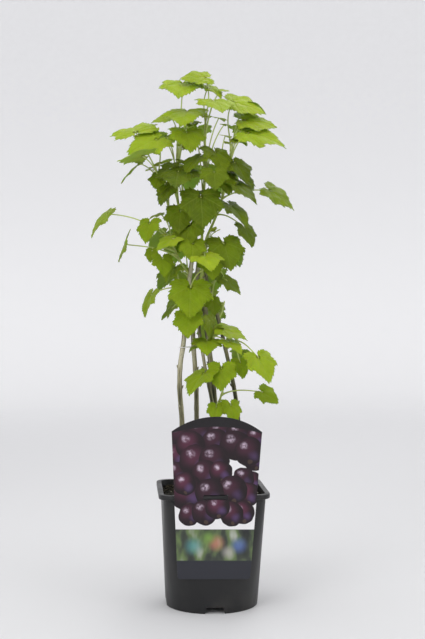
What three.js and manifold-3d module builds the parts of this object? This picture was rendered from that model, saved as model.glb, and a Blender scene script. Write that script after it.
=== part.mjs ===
// A young blackcurrant bush in a two-litre nursery pot, with a hooked-on plant label.
// Millimetres, +Z up. The origin is the middle of the pot's foot, and the label faces -Y.
import * as THREE from "three";
import { mergeVertices } from "three/addons/utils/BufferGeometryUtils.js";
import Module from "manifold-3d";

const wasm = await Module();
wasm.setup();

// Gap kept between neighbouring pieces
const GAP = 0.3;
const WELD = 1e-4;
// How far a cutter runs past the faces it cuts
const OVERRUN = 1;

// Pot: a round foot that turns into a rounded square below the rim
const POT_HEIGHT = 156;
const FOOT_HALF_WIDTH = 62;
const NECK_HALF_WIDTH = 67;
const LIP_HALF_WIDTH = 72.5;
const LIP_HEIGHT = 6.5;
const LIP_ROUNDING = 1;
const RIM_CORNER_RADIUS = 13;
const POT_WALL = 1.3;
const FLOOR_UNDERSIDE = 9;
const FLOOR_THICKNESS = 1.5;
const CENTRE_FOOT_RADIUS = 18;
const NOTCH_COUNT = 4;
const NOTCH_BOTTOM_WIDTH = 26;
const NOTCH_TOP_WIDTH = 21;
const NOTCH_HEIGHT = 8.5;
const NOTCH_START = 43;
const NOTCH_DEPTH = 30;
const DRAIN_COUNT = 8;
const DRAIN_RADIUS = 5;
const DRAIN_CIRCLE = 40;
const DRAIN_SIDES = 8;
const FOOT_SIDES = 18;
const POT_CORNER_STEPS = 6;
const POT_BODY_STEPS = 2;

// Compost
const SOIL_LEVEL = 146;
const SOIL_CROWN = 3;
const SOIL_LUMP = 2.2;
const SOIL_LUMP_SPACING = [9, 11];
const SOIL_SHOULDER = 6;
const SOIL_RINGS = [1, 0.82, 0.6, 0.38, 0.18];

// Label: a thin plastic plate with an arched top, held by a tongue folded back onto the rim
const LABEL_THICKNESS = 0.8;
const LABEL_BOTTOM = 46.5;
const LABEL_SHOULDER = 239;
const LABEL_TOP = 258.5;
const LABEL_BOTTOM_HALF_WIDTH = 47;
const LABEL_SHOULDER_HALF_WIDTH = 58;
const LABEL_CORNER = 4;
const LABEL_CURVE_STEPS = 10;
const LABEL_LEAN = 4;
const LABEL_TURN = 0.9;
const LABEL_GAP = 0.5;
const TONGUE_WIDTH = 30;
const TONGUE_CUT = 1;
const TONGUE_LENGTH = 6;

// Leaf: half of its toothed, five-lobed outline in shares of the blade's width, from the stalk to the tip,
// and the points inside it that carry the blade's arch
const BLADE_THICKNESS = 0.8;
const BLADE_FOLD = 0.1;
const BLADE_ARCH = 0.26;
const BLADE_TIP = [0, 0.8];
const BLADE_CENTRE = [0, 0.4];
const BLADE_HALF = [
  [0.09, -0.13],
  [0.27, -0.19],
  [0.46, -0.09],
  [0.445, 0.08],
  [0.5, 0.32],
  [0.36, 0.43],
  [0.31, 0.57],
  [0.16, 0.7],
];
const BLADE_INSIDE = [
  [0.25, 0.08],
];

// Leaf stalks and green shoots
const STALK_RADIUS = [1.05, 0.75];
const STALK_SIDES = 3;
const STALK_STEPS = 4;
const STALK_SINK = 0.06;
const STALK_HANDLE = 0.35;
const STALK_BEND = 0.5;
const SHOOT_SIDES = 5;
const SHOOT_STEPS = 5;

// Woody canes
const CANE_SIDES = 7;
const CANE_STEPS = 12;
const CANE_SWELLING = 0.09;
const CANE_BUDS = 7;
const CANE_BUD_SHARPNESS = 8;

// Tie: one turn of thin string round the four left-hand canes
const TIE_HEIGHT = 344;
const TIE_RADIUS = 0.7;
const TIE_ROUTE = [
  [-43.4, -4.2],
  [-40.2, -8.8],
  [-27, -12.8],
  [-15, -15.8],
  [-10.8, -14.8],
  [0.8, -3.8],
  [2.2, 0.3],
  [-0.4, 4.8],
  [-20.8, 16.4],
  [-26.4, 15.8],
  [-42.2, -1],
];
const TIE_STEPS = 40;
const TIE_SIDES = 3;

// Canes: radii at the foot and the top, and the route from inside the compost upward
const CANES = {
  cane_a: {
    radius: [3.7, 2.8],
    route: [[-36, -6, 106], [-38, -6, 170], [-40, -6, 246], [-43, -6, 290], [-42, -5, 322],
      [-38, -4, 348], [-35, -4, 378], [-32, -5, 410], [-29, -6, 441], [-25, -6, 472]],
  },
  cane_b: {
    radius: [3.6, 2.7],
    route: [[-17, 18, 106], [-18, 17, 170], [-19, 15, 246], [-19.5, 14, 286], [-21.5, 13, 320],
      [-24, 12, 356], [-23.5, 13, 394], [-19.5, 15, 434], [-15.5, 16, 466]],
  },
  cane_c: {
    radius: [4.8, 3],
    route: [[8, 0, 106], [7, 0, 170], [5, 0, 246], [2.5, 0, 290], [-3, 0, 340],
      [-6.5, 0, 374], [-9.5, 0, 407], [-11.5, -1, 438]],
  },
  cane_d: {
    radius: [3.1, 2.4],
    route: [[38, 8, 106], [38, 8, 170], [37, 8, 246], [30.5, 8, 293], [23, 9, 327],
      [13, 11, 371], [2.5, 14, 408], [-4, 16, 430], [-8.5, 18, 452], [-10, 19, 472]],
  },
  cane_e: {
    radius: [2.7, 2],
    route: [[6, -14, 106], [5, -13, 190], [1, -12, 262], [-3.5, -12, 289], [-9, -12, 315],
      [-13, -12, 340], [-17, -12, 364], [-18, -12, 394], [-15, -13, 430]],
  },
};

// Green shoots: the cane that bears each one, its radii, its route, and its leaves.
// A leaf is [share of the way up the shoot, x, y, z of the blade's foot, heading of the midrib in plan,
// droop below level, roll about the midrib, blade width], in millimetres and degrees.
// Heading 0 is +X, 90 is +Y, and a positive roll turns the upper face to the leaf's right.
const SHOOTS = {
  shoot_a: {
    cane: "cane_a",
    radius: [2, 1.1],
    route: [[-25, -6, 470], [-34, -8, 492], [-48, -7, 510], [-57, -4, 530], [-63, -2, 552], [-72, 2, 575]],
    leaves: [
      [0.95, -101, 0, 631, 100, -28, -18, 60],
      [0.97, -72, -14, 621, 203, 20, -30, 55],
      [0.88, -91, -34, 596, 210, 4, 16, 48],
      [0.82, -94, 6, 592, 192, 36, 8, 46],
      [0.91, -56, 22, 597, 165, 6, -16, 24],
      [0.6, -60, -8, 562, 240, 64, 0, 28],
    ],
  },
  shoot_b: {
    cane: "cane_b",
    radius: [2, 1.1],
    route: [[-15.5, 16, 464], [-24, 15, 486], [-36, 12, 510], [-44, 10, 535], [-47, 11, 568], [-45, 12, 604]],
    leaves: [
      [0.97, -38, 12, 701, -100, 24, 0, 56],
      [0.94, -52, 14, 655, 184, 8, -24, 34],
      [0.9, -33, -6, 660, -104, 22, 0, 56],
      [0.84, -35, -24, 630, -80, 40, 0, 46],
      [0.58, -45, -22, 578, -98, 22, 0, 56],
      [0.8, -58, 44, 634, 125, 14, 0, 46],
      [0.66, -30, 52, 590, 80, 32, 0, 48],
      [0.38, -42, -20, 527, -104, 56, 0, 42],
    ],
  },
  shoot_c: {
    cane: "cane_c",
    radius: [2.2, 1.1],
    route: [[-11.5, -1, 436], [-13, -2, 480], [-12, -3, 520], [-10, -3, 560], [-9, -2, 600], [-8, 0, 645]],
    leaves: [
      [0.97, -7, 2, 706, 192, -2, -36, 42],
      [0.95, -4, 10, 696, -38, 28, 8, 32],
      [0.93, 13, 6, 690, 5, -6, 24, 14],
      [0.9, 2, -18, 672, -78, 20, 0, 50],
      [0.7, -16, -20, 598, 222, 30, 0, 42],
      [0.73, 3, -18, 605, -62, 42, 0, 44],
      [0.6, 0, -46, 575, -88, 46, 0, 36],
      [0.5, -17, -40, 544, -84, 60, 0, 55],
      [0.85, -16, 44, 646, 95, 14, 0, 40],
    ],
  },
  shoot_d: {
    cane: "cane_d",
    radius: [2, 1.1],
    route: [[-10, 19, 470], [-5, 17, 492], [6, 12, 518], [15, 8, 545], [23, 6, 575], [27, 4, 612]],
    leaves: [
      [0.97, 27, 5, 675, -10, 12, 30, 57],
      [0.92, 52, 26, 676, 10, 12, 0, 30],
      [0.94, 42, -4, 649, 2, 2, 30, 55],
      [0.86, 44, -24, 629, -6, 8, 32, 64],
      [0.72, 26, 5, 588, -20, 32, 10, 52],
      [0.58, 30, -20, 563, -26, 34, 10, 48],
      [0.46, 23, -18, 534, -36, 36, 6, 46],
      [0.53, 78, 0, 556, -8, 30, 30, 50],
      [0.38, 43, -12, 505, -44, 54, 0, 36],
      [0.8, 46, 40, 646, 50, 14, 0, 44],
      [0.62, 14, 56, 590, 78, 36, 0, 50],
    ],
  },
  shoot_e: {
    cane: "cane_e",
    radius: [1.8, 1.1],
    route: [[-15, -13, 428], [-14, -16, 446], [-10, -19, 466], [-6, -21, 486]],
    leaves: [
      [0.92, -52, -36, 488, 206, 24, -16, 34],
      [0.87, -28, -44, 482, -92, 54, 0, 34],
      [0.78, -13, -48, 466, -76, 24, 0, 42],
      [0.96, 14, -26, 484, -66, 54, 8, 50],
      [0.3, -30, -34, 426, -96, 54, 0, 55],
    ],
  },
  side_a: {
    cane: "cane_a",
    radius: [1.6, 1],
    route: [[-29, -6, 441], [-38, -8, 452], [-47, -10, 468], [-54, -12, 486]],
    leaves: [
      [0.97, -138, -8, 523, 190, 44, -8, 46],
      [0.5, -116, -6, 482, -100, 16, 70, 42],
      [0.94, -83, -22, 510, 234, 58, 0, 34],
      [0.9, -67, 4, 523, 176, 10, -14, 20],
      [0.7, -80, -24, 473, 238, 62, 0, 20],
      [0.6, -67, -32, 463, -70, 62, 0, 30],
      [0.8, -60, 36, 500, 140, 36, 0, 46],
    ],
  },
  side_a_low: {
    cane: "cane_a",
    radius: [1.5, 1],
    route: [[-32.5, -5, 405], [-39, -10, 414], [-44, -14, 424]],
    leaves: [
      [0.9, -80, -12, 416, 200, 58, 0, 38],
      [0.4, -52, -4, 397, 188, 36, -6, 26],
      [0.97, -50, -14, 449, 200, 44, -14, 26],
      [0.6, -33, -38, 388, -98, 58, 0, 38],
    ],
  },
  side_d: {
    cane: "cane_d",
    radius: [1.6, 1],
    route: [[-3, 15.5, 427], [6, 14, 434], [13, 12, 446]],
    leaves: [
      [0.8, 4, -6, 446, -50, 52, 0, 22],
      [0.97, 19, -6, 434, -14, 34, 24, 32],
      [0.5, 0, -10, 408, -58, 62, 0, 26],
      [0.9, 26, 36, 480, 40, 36, 0, 40],
      [0.7, 4, 44, 446, 84, 44, 0, 42],
    ],
  },
  side_c: {
    cane: "cane_c",
    radius: [1.5, 1],
    route: [[-3.5, 0, 343], [0, -6, 352], [2, -12, 362]],
    leaves: [
      [0.9, -8, -26, 354, -94, 20, 0, 38],
      [0.8, 19, -28, 353, -40, 24, 6, 32],
      [0.6, -22, -27, 347, 202, 28, 0, 16],
      [0.96, -5, -29, 382, -24, 78, 8, 33],
    ],
  },
  side_d_low: {
    cane: "cane_d",
    radius: [1.5, 1],
    route: [[20, 9.3, 340], [27, 5, 346], [34, 0, 354]],
    leaves: [
      [0.96, 13, -20, 369, -14, 14, 22, 42],
      [0.7, 36, -24, 326, -62, 62, 0, 28],
      [0.88, 59, -32, 333, -50, 48, 10, 46],
      [0.92, 42, 30, 336, 60, 40, 0, 30],
    ],
  },
  basal: {
    cane: "cane_c",
    radius: [1.7, 1.1],
    route: [[4.5, 0, 258], [9, -6, 268], [13, -11, 282], [17, -14, 296]],
    leaves: [
      [0.8, -12, -38, 312, 222, 32, 0, 46],
      [0.96, 10, -44, 320, -100, 62, 0, 38],
      [0.6, 66, -14, 285, -18, 26, 38, 32],
      [0.3, 4, -36, 268, -112, 66, 0, 25],
      [0.4, 23, -30, 270, -56, 62, 0, 32],
    ],
  },
  back_b: {
    cane: "cane_b",
    radius: [1.6, 1],
    route: [[-22, 14, 412], [-26, 22, 424], [-30, 30, 440]],
    leaves: [
      [0.94, -48, 46, 452, 142, 40, 0, 48],
      [0.8, -26, 54, 440, 96, 46, 0, 46],
      [0.5, -44, 34, 412, 158, 50, 0, 38],
      [0.97, -36, 50, 488, 112, 34, 0, 46],
    ],
  },
  back_d: {
    cane: "cane_d",
    radius: [1.6, 1],
    route: [[10, 12, 381], [15, 20, 390], [19, 28, 402]],
    leaves: [
      [0.9, -6, 46, 416, 110, 40, 0, 40],
      [0.96, 4, 52, 394, 86, 48, 0, 38],
      [0.5, 2, 36, 372, 118, 54, 0, 36],
    ],
  },
};

// Finishes
const PLASTIC = { color: 0x2b2b2c, roughness: 0.5, metalness: 0 };
const COMPOST = { color: 0x2e2318, roughness: 1, metalness: 0 };
const PRINT = { color: 0xe9e6e6, roughness: 0.35, metalness: 0 };
const BARK = { color: 0x8a7a5c, roughness: 0.8, metalness: 0 };
const LEAF = { color: 0x6d9a1f, roughness: 0.5, metalness: 0 };
const STRING = { color: 0xf1f0ea, roughness: 0.7, metalness: 0 };

const degrees = THREE.MathUtils.degToRad;
const point = (xyz) => new THREE.Vector3(...xyz);

// Solids

function solid(geometry) {
  const bare = new THREE.BufferGeometry().setAttribute("position", geometry.getAttribute("position"));
  bare.setIndex(geometry.getIndex());
  const merged = mergeVertices(bare, WELD);
  const mesh = new wasm.Mesh({
    numProp: 3,
    vertProperties: merged.getAttribute("position").array,
    triVerts: new Uint32Array(merged.getIndex().array),
  });
  return new wasm.Manifold(mesh);
}

function geometryOf(shape) {
  const { vertProperties, triVerts } = shape.getMesh();
  return new THREE.BufferGeometry()
    .setAttribute("position", new THREE.BufferAttribute(vertProperties, 3))
    .setIndex(new THREE.BufferAttribute(triVerts, 1));
}

function triangles(vertices, faces) {
  const positions = new Float32Array(vertices.flatMap((v) => [v.x, v.y, v.z]));
  return new THREE.BufferGeometry()
    .setAttribute("position", new THREE.BufferAttribute(positions, 3))
    .setIndex(faces.flat());
}

// Skins a row of rings that turn the right-handed way round the direction they advance in.
function loft(rings, closed = false) {
  const sides = rings[0].length;
  const vertices = rings.flat();
  const faces = [];
  const spans = closed ? rings.length : rings.length - 1;
  for (let i = 0; i < spans; i++) {
    const here = i * sides;
    const next = ((i + 1) % rings.length) * sides;
    for (let j = 0; j < sides; j++) {
      const k = (j + 1) % sides;
      faces.push([here + j, here + k, next + k], [here + j, next + k, next + j]);
    }
  }
  if (!closed) {
    const last = (rings.length - 1) * sides;
    const middle = (ring) => ring.reduce((sum, v) => sum.add(v), new THREE.Vector3()).divideScalar(sides);
    const start = vertices.push(middle(rings[0])) - 1;
    const end = vertices.push(middle(rings.at(-1))) - 1;
    for (let j = 0; j < sides; j++) {
      const k = (j + 1) % sides;
      faces.push([start, k, j], [end, last + j, last + k]);
    }
  }
  return triangles(vertices, faces);
}

// A tapering round stem along a curve.
function stem(curve, steps, sides, radiusAt, closed = false) {
  const frames = curve.computeFrenetFrames(steps, closed);
  const count = closed ? steps : steps + 1;
  const rings = Array.from({ length: count }, (_, i) => {
    const centre = curve.getPointAt(i / steps);
    const radius = radiusAt(i / steps);
    return Array.from({ length: sides }, (_, j) => {
      const turn = (2 * Math.PI * j) / sides;
      return centre
        .clone()
        .addScaledVector(frames.normals[i], radius * Math.cos(turn))
        .addScaledVector(frames.binormals[i], radius * Math.sin(turn));
    });
  });
  return solid(loft(rings, closed));
}

function taper([foot, top]) {
  return (share) => foot + (top - foot) * share;
}

function route(points) {
  return new THREE.CatmullRomCurve3(points.map(point));
}

function box(width, depth, height, x, y, z) {
  return solid(new THREE.BoxGeometry(width, depth, height).translate(x, y, z));
}

function drum(radius, low, high) {
  const geometry = new THREE.CylinderGeometry(radius, radius, high - low, FOOT_SIDES);
  return solid(geometry.rotateX(Math.PI / 2).translate(0, 0, (low + high) / 2));
}

function node(name, shape, finish) {
  const mesh = new THREE.Mesh(geometryOf(shape), new THREE.MeshStandardMaterial(finish));
  mesh.name = name;
  return mesh;
}

// Pot

// A ring of the pot's plan at one height: a square with corners so round at the foot that it is a circle.
function potRing(halfWidth, cornerRadius, z) {
  const corner = Math.min(cornerRadius, halfWidth);
  const flat = halfWidth - corner;
  const ring = [];
  for (let quarter = 0; quarter < 4; quarter++) {
    const middle = Math.PI / 4 + (quarter * Math.PI) / 2;
    const x = flat * Math.sign(Math.cos(middle));
    const y = flat * Math.sign(Math.sin(middle));
    for (let i = 0; i < POT_CORNER_STEPS; i++) {
      const turn = middle + (Math.PI / 2) * ((i + 0.5) / POT_CORNER_STEPS - 0.5);
      ring.push(new THREE.Vector3(x + corner * Math.cos(turn), y + corner * Math.sin(turn), z));
    }
  }
  return ring;
}

// The pot's wall at a height, moved inwards by an inset.
function wallRing(z, inset) {
  const share = z / (POT_HEIGHT - LIP_HEIGHT);
  const halfWidth = FOOT_HALF_WIDTH + (NECK_HALF_WIDTH - FOOT_HALF_WIDTH) * share;
  const corner = FOOT_HALF_WIDTH + (RIM_CORNER_RADIUS - FOOT_HALF_WIDTH) * share;
  return potRing(halfWidth - inset, corner - inset, z);
}

function wallRings(low, high, inset) {
  const step = (high - low) / POT_BODY_STEPS;
  return Array.from({ length: POT_BODY_STEPS + 1 }, (_, i) => wallRing(low + i * step, inset));
}

function makePot() {
  const neck = POT_HEIGHT - LIP_HEIGHT;
  const lipCorner = RIM_CORNER_RADIUS + LIP_HALF_WIDTH - NECK_HALF_WIDTH;
  const lipRing = (inset, z) => potRing(LIP_HALF_WIDTH - inset, lipCorner - inset, z);
  const outside = solid(loft([
    ...wallRings(0, neck, 0),
    lipRing(0, neck + LIP_ROUNDING),
    lipRing(0, POT_HEIGHT - LIP_ROUNDING),
    lipRing(LIP_ROUNDING, POT_HEIGHT),
  ]));
  const floor = FLOOR_UNDERSIDE + FLOOR_THICKNESS;
  const inside = solid(loft(wallRings(floor, POT_HEIGHT + OVERRUN, POT_WALL)));
  const recess = solid(loft([wallRing(-OVERRUN, POT_WALL), wallRing(FLOOR_UNDERSIDE, POT_WALL)]))
    .subtract(drum(CENTRE_FOOT_RADIUS, -2 * OVERRUN, FLOOR_UNDERSIDE + OVERRUN));
  const dish = drum(CENTRE_FOOT_RADIUS - POT_WALL, FLOOR_THICKNESS, floor + OVERRUN);
  let pot = outside.subtract(inside).subtract(recess).subtract(dish);
  for (let i = 0; i < NOTCH_COUNT; i++) pot = pot.subtract(makeNotch((i * 2 * Math.PI) / NOTCH_COUNT));
  for (let i = 0; i < DRAIN_COUNT; i++) {
    const turn = ((i + 0.5) * 2 * Math.PI) / DRAIN_COUNT;
    const hole = new THREE.CylinderGeometry(DRAIN_RADIUS, DRAIN_RADIUS, 4 * FLOOR_THICKNESS, DRAIN_SIDES)
      .rotateX(Math.PI / 2)
      .translate(DRAIN_CIRCLE * Math.cos(turn), DRAIN_CIRCLE * Math.sin(turn), floor - FLOOR_THICKNESS / 2);
    pot = pot.subtract(solid(hole));
  }
  return pot;
}

// A drainage notch in the foot, wider at the ground.
function makeNotch(turn) {
  const outline = new THREE.Shape();
  outline.moveTo(-NOTCH_BOTTOM_WIDTH / 2, -OVERRUN);
  outline.lineTo(NOTCH_BOTTOM_WIDTH / 2, -OVERRUN);
  outline.lineTo(NOTCH_TOP_WIDTH / 2, NOTCH_HEIGHT);
  outline.lineTo(-NOTCH_TOP_WIDTH / 2, NOTCH_HEIGHT);
  outline.closePath();
  const cutter = new THREE.ExtrudeGeometry(outline, { depth: NOTCH_DEPTH, bevelEnabled: false })
    .rotateX(Math.PI / 2)
    .translate(0, -NOTCH_START, 0)
    .rotateZ(turn);
  return solid(cutter);
}

// Compost: it fills the pot to a lumpy top, with a hole for each cane.
function makeSoil(caneHoles) {
  const floor = FLOOR_UNDERSIDE + FLOOR_THICKNESS + GAP;
  const inset = POT_WALL + GAP;
  const [spacingX, spacingY] = SOIL_LUMP_SPACING;
  const lump = (x, y) => SOIL_LUMP * Math.sin(x / spacingX + 1) * Math.cos(y / spacingY);
  const edge = wallRing(SOIL_LEVEL, inset);
  const top = SOIL_RINGS.map((share) =>
    edge.map((v) => {
      const x = v.x * share;
      const y = v.y * share;
      return new THREE.Vector3(x, y, SOIL_LEVEL + SOIL_CROWN * (1 - share) + lump(x, y));
    }),
  );
  const fill = solid(loft([...wallRings(floor, SOIL_LEVEL - SOIL_SHOULDER, inset), ...top]));
  const plug = drum(CENTRE_FOOT_RADIUS - POT_WALL - GAP, FLOOR_THICKNESS + GAP, floor + OVERRUN);
  return caneHoles.reduce((soil, hole) => soil.subtract(hole), fill.add(plug));
}

// Label: drawn in its own plane, then leant and turned about the middle of the lip
function makeLabel() {
  const bottom = LABEL_BOTTOM_HALF_WIDTH;
  const shoulder = LABEL_SHOULDER_HALF_WIDTH;
  const slope = (shoulder - bottom) / (LABEL_SHOULDER - LABEL_BOTTOM);
  const side = bottom + slope * LABEL_CORNER;
  const cornerTop = LABEL_BOTTOM + LABEL_CORNER;
  const sagitta = LABEL_TOP - LABEL_SHOULDER;
  const archRadius = (shoulder ** 2 + sagitta ** 2) / (2 * sagitta);
  const archTurn = Math.asin(shoulder / archRadius);
  const outline = new THREE.Shape();
  outline.moveTo(LABEL_CORNER - bottom, LABEL_BOTTOM);
  outline.lineTo(bottom - LABEL_CORNER, LABEL_BOTTOM);
  outline.quadraticCurveTo(bottom, LABEL_BOTTOM, side, cornerTop);
  outline.lineTo(shoulder, LABEL_SHOULDER);
  outline.absarc(0, LABEL_TOP - archRadius, archRadius, Math.PI / 2 - archTurn, Math.PI / 2 + archTurn);
  outline.lineTo(-side, cornerTop);
  outline.quadraticCurveTo(-bottom, LABEL_BOTTOM, LABEL_CORNER - bottom, LABEL_BOTTOM);
  const lipMiddle = POT_HEIGHT - LIP_HEIGHT / 2;
  const plateBack = -LIP_HALF_WIDTH - LABEL_GAP;
  const plate = new THREE.ExtrudeGeometry(outline, {
    depth: LABEL_THICKNESS,
    bevelEnabled: false,
    curveSegments: LABEL_CURVE_STEPS,
  })
    .rotateX(Math.PI / 2)
    .translate(0, 0, -lipMiddle)
    .rotateX(degrees(LABEL_LEAN))
    .rotateY(degrees(LABEL_TURN))
    .translate(0, plateBack, lipMiddle);
  // The tongue is cut free at its sides and foot, and folded back flat above the lip
  const foldHeight = POT_HEIGHT + GAP + LABEL_THICKNESS / 2;
  const front = plateBack - LABEL_THICKNESS;
  const cut = box(TONGUE_WIDTH + 2 * TONGUE_CUT, 4 * LABEL_THICKNESS, TONGUE_LENGTH,
    0, front, foldHeight - TONGUE_LENGTH / 2);
  const tongue = box(TONGUE_WIDTH, TONGUE_LENGTH, LABEL_THICKNESS,
    0, front + TONGUE_LENGTH / 2, foldHeight);
  return solid(plate).subtract(cut).add(tongue);
}

// Leaves

// Height of a blade's upper face over its own plane, all in shares of its width.
function bladeHeight([across, along]) {
  return BLADE_FOLD * Math.abs(across) - BLADE_ARCH * (across ** 2 + along ** 2);
}

// Triangles of one half of the upper face: the stalk's end fans out to the inside points, and a strip
// joins those to the outline. Indices are into [outline..., tip] and [inside..., centre].
function halfBladeFaces(outer, inner, foot) {
  const faces = [[foot, outer[0], inner[0]]];
  for (let i = 0; i + 1 < inner.length; i++) faces.push([foot, inner[i], inner[i + 1]]);
  let i = 0;
  let j = 0;
  while (i + 1 < outer.length || j + 1 < inner.length) {
    const outerNext = (i + 1) / (outer.length - 1);
    const innerNext = (j + 1) / (inner.length - 1);
    if (i + 1 < outer.length && (j + 1 === inner.length || outerNext <= innerNext)) {
      faces.push([inner[j], outer[i], outer[i + 1]]);
      i++;
    } else {
      faces.push([inner[j], outer[i], inner[j + 1]]);
      j++;
    }
  }
  return faces;
}

// The blade as flat points and faces, the same for every leaf: both faces are split alike.
const BLADE = (() => {
  const mirrored = (points) => points.map(([across, along]) => [-across, along]);
  const flat = [[0, 0], ...BLADE_HALF, BLADE_TIP, ...mirrored(BLADE_HALF).reverse(),
    ...BLADE_INSIDE, BLADE_CENTRE, ...mirrored(BLADE_INSIDE).reverse()];
  const edge = BLADE_HALF.length;
  const rim = 2 * edge + 2;
  const inside = BLADE_INSIDE.length;
  const span = (from, count, step) => Array.from({ length: count }, (_, i) => from + step * i);
  const rightFaces = halfBladeFaces(span(1, edge + 1, 1), span(rim, inside + 1, 1), 0);
  const leftFaces = halfBladeFaces(span(rim - 1, edge + 1, -1), span(rim + 2 * inside, inside + 1, -1), 0);
  const upper = [...rightFaces, ...leftFaces.map(([a, b, c]) => [a, c, b])];
  const lower = upper.map(([a, b, c]) => [a + flat.length, c + flat.length, b + flat.length]);
  const wall = [];
  for (let i = 0; i < rim; i++) {
    const k = (i + 1) % rim;
    wall.push([i, i + flat.length, k + flat.length], [i, k + flat.length, k]);
  }
  return { flat, faces: [...upper, ...lower, ...wall] };
})();

// Axes of a blade: across it, along its midrib and out of its upper face.
function bladeAxes(heading, droop, roll) {
  const h = degrees(heading);
  const p = degrees(droop);
  const along = new THREE.Vector3(Math.cos(h) * Math.cos(p), Math.sin(h) * Math.cos(p), -Math.sin(p));
  const up = new THREE.Vector3(0, 0, 1).addScaledVector(along, -along.z).normalize();
  const right = along.clone().cross(up);
  const out = up.multiplyScalar(Math.cos(degrees(roll))).addScaledVector(right, Math.sin(degrees(roll)));
  return { across: along.clone().cross(out), along, out };
}

function makeBlade(foot, axes, width) {
  const place = (lift) => ([across, along]) =>
    foot
      .clone()
      .addScaledVector(axes.across, across * width)
      .addScaledVector(axes.along, along * width)
      .addScaledVector(axes.out, bladeHeight([across, along]) * width + lift);
  const vertices = [
    ...BLADE.flat.map(place(BLADE_THICKNESS / 2)),
    ...BLADE.flat.map(place(-BLADE_THICKNESS / 2)),
  ];
  return solid(triangles(vertices, BLADE.faces));
}

// The stalk leaves the shoot steeply, arches over and ends inside the blade.
function makeStalk(start, foot, axes, width) {
  const reach = foot.clone().sub(start);
  const length = reach.length();
  const leaving = reach.clone().divideScalar(length).add(new THREE.Vector3(0, 0, STALK_BEND)).normalize();
  const arriving = reach.clone().divideScalar(length).addScaledVector(axes.along, STALK_BEND).normalize();
  const curve = new THREE.CubicBezierCurve3(
    start,
    start.clone().addScaledVector(leaving, STALK_HANDLE * length),
    foot.clone().addScaledVector(arriving, -STALK_HANDLE * length),
    foot.clone().addScaledVector(axes.along, STALK_SINK * width),
  );
  return stem(curve, STALK_STEPS, STALK_SIDES, taper(STALK_RADIUS));
}

function makeLeaf(shootCurve, [at, x, y, z, heading, droop, roll, width]) {
  const foot = new THREE.Vector3(x, y, z);
  const axes = bladeAxes(heading, droop, roll);
  return makeBlade(foot, axes, width).add(makeStalk(shootCurve.getPointAt(at), foot, axes, width));
}

// A leafy shoot, cut to stand just clear of the cane that bears it.
function makeShoot(shoot, caneKeepOut) {
  const curve = route(shoot.route);
  const axis = stem(curve, SHOOT_STEPS, SHOOT_SIDES, taper(shoot.radius));
  const leafy = shoot.leaves.reduce((whole, leaf) => whole.add(makeLeaf(curve, leaf)), axis);
  return leafy.subtract(caneKeepOut);
}

// Canes: slightly swollen at each bud.
function makeCane(cane, margin) {
  const plain = taper(cane.radius);
  const bud = (share) => Math.cos(2 * Math.PI * CANE_BUDS * share) ** CANE_BUD_SHARPNESS;
  const radiusAt = (share) => plain(share) * (1 + CANE_SWELLING * bud(share)) + margin;
  return stem(route(cane.route), CANE_STEPS, CANE_SIDES, radiusAt);
}

function makeTie() {
  const points = TIE_ROUTE.map(([x, y]) => new THREE.Vector3(x, y, TIE_HEIGHT));
  const loop = new THREE.CatmullRomCurve3(points, true);
  return stem(loop, TIE_STEPS, TIE_SIDES, () => TIE_RADIUS, true);
}

// The potted bush

const plant = new THREE.Group();
plant.add(node("pot", makePot(), PLASTIC));
plant.add(node("label", makeLabel(), PRINT));

const keepOuts = {};
for (const [name, cane] of Object.entries(CANES)) {
  keepOuts[name] = makeCane(cane, GAP);
  plant.add(node(name, makeCane(cane, 0), BARK));
}
plant.add(node("soil", makeSoil(Object.values(keepOuts)), COMPOST));
plant.add(node("tie", makeTie(), STRING));
for (const [name, shoot] of Object.entries(SHOOTS)) {
  plant.add(node(name, makeShoot(shoot, keepOuts[shoot.cane]), LEAF));
}

export default plant;
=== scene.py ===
# Potted blackcurrant bush: leafy shoots on woody canes in a black nursery pot with a printed plant label.
import math
import random

import bpy
import numpy as np
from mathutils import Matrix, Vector, noise


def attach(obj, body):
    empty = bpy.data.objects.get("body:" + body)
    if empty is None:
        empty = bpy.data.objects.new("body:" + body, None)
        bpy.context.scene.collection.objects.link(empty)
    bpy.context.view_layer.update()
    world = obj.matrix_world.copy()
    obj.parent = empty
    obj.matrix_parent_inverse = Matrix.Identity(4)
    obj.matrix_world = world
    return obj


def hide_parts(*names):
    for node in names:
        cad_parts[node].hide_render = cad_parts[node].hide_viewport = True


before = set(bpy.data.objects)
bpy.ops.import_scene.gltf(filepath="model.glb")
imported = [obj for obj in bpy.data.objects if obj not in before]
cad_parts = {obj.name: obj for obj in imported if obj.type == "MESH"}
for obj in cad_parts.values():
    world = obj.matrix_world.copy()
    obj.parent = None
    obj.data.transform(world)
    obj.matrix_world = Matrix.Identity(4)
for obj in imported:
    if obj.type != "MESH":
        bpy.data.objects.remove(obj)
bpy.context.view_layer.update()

# Lengths in the tables are millimetres, and MM turns them into metres
MM = 0.001
UP = np.array([0, 0, 1.0])
# The range that random turns are drawn from, in radians
FULL_TURN = 6.3
draw = random.Random(20)

# Camera at the photograph's viewing angle
IMAGE_WIDTH, IMAGE_HEIGHT = 425, 639
FOCAL_PIXELS = 1145
AXIS_COLUMN = 211.4
SENSOR_HEIGHT = 36
CAMERA_DISTANCE, CAMERA_HEIGHT = 1540, 402
CAMERA_TURN, CAMERA_PITCH = -4.2, 0.776

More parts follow.
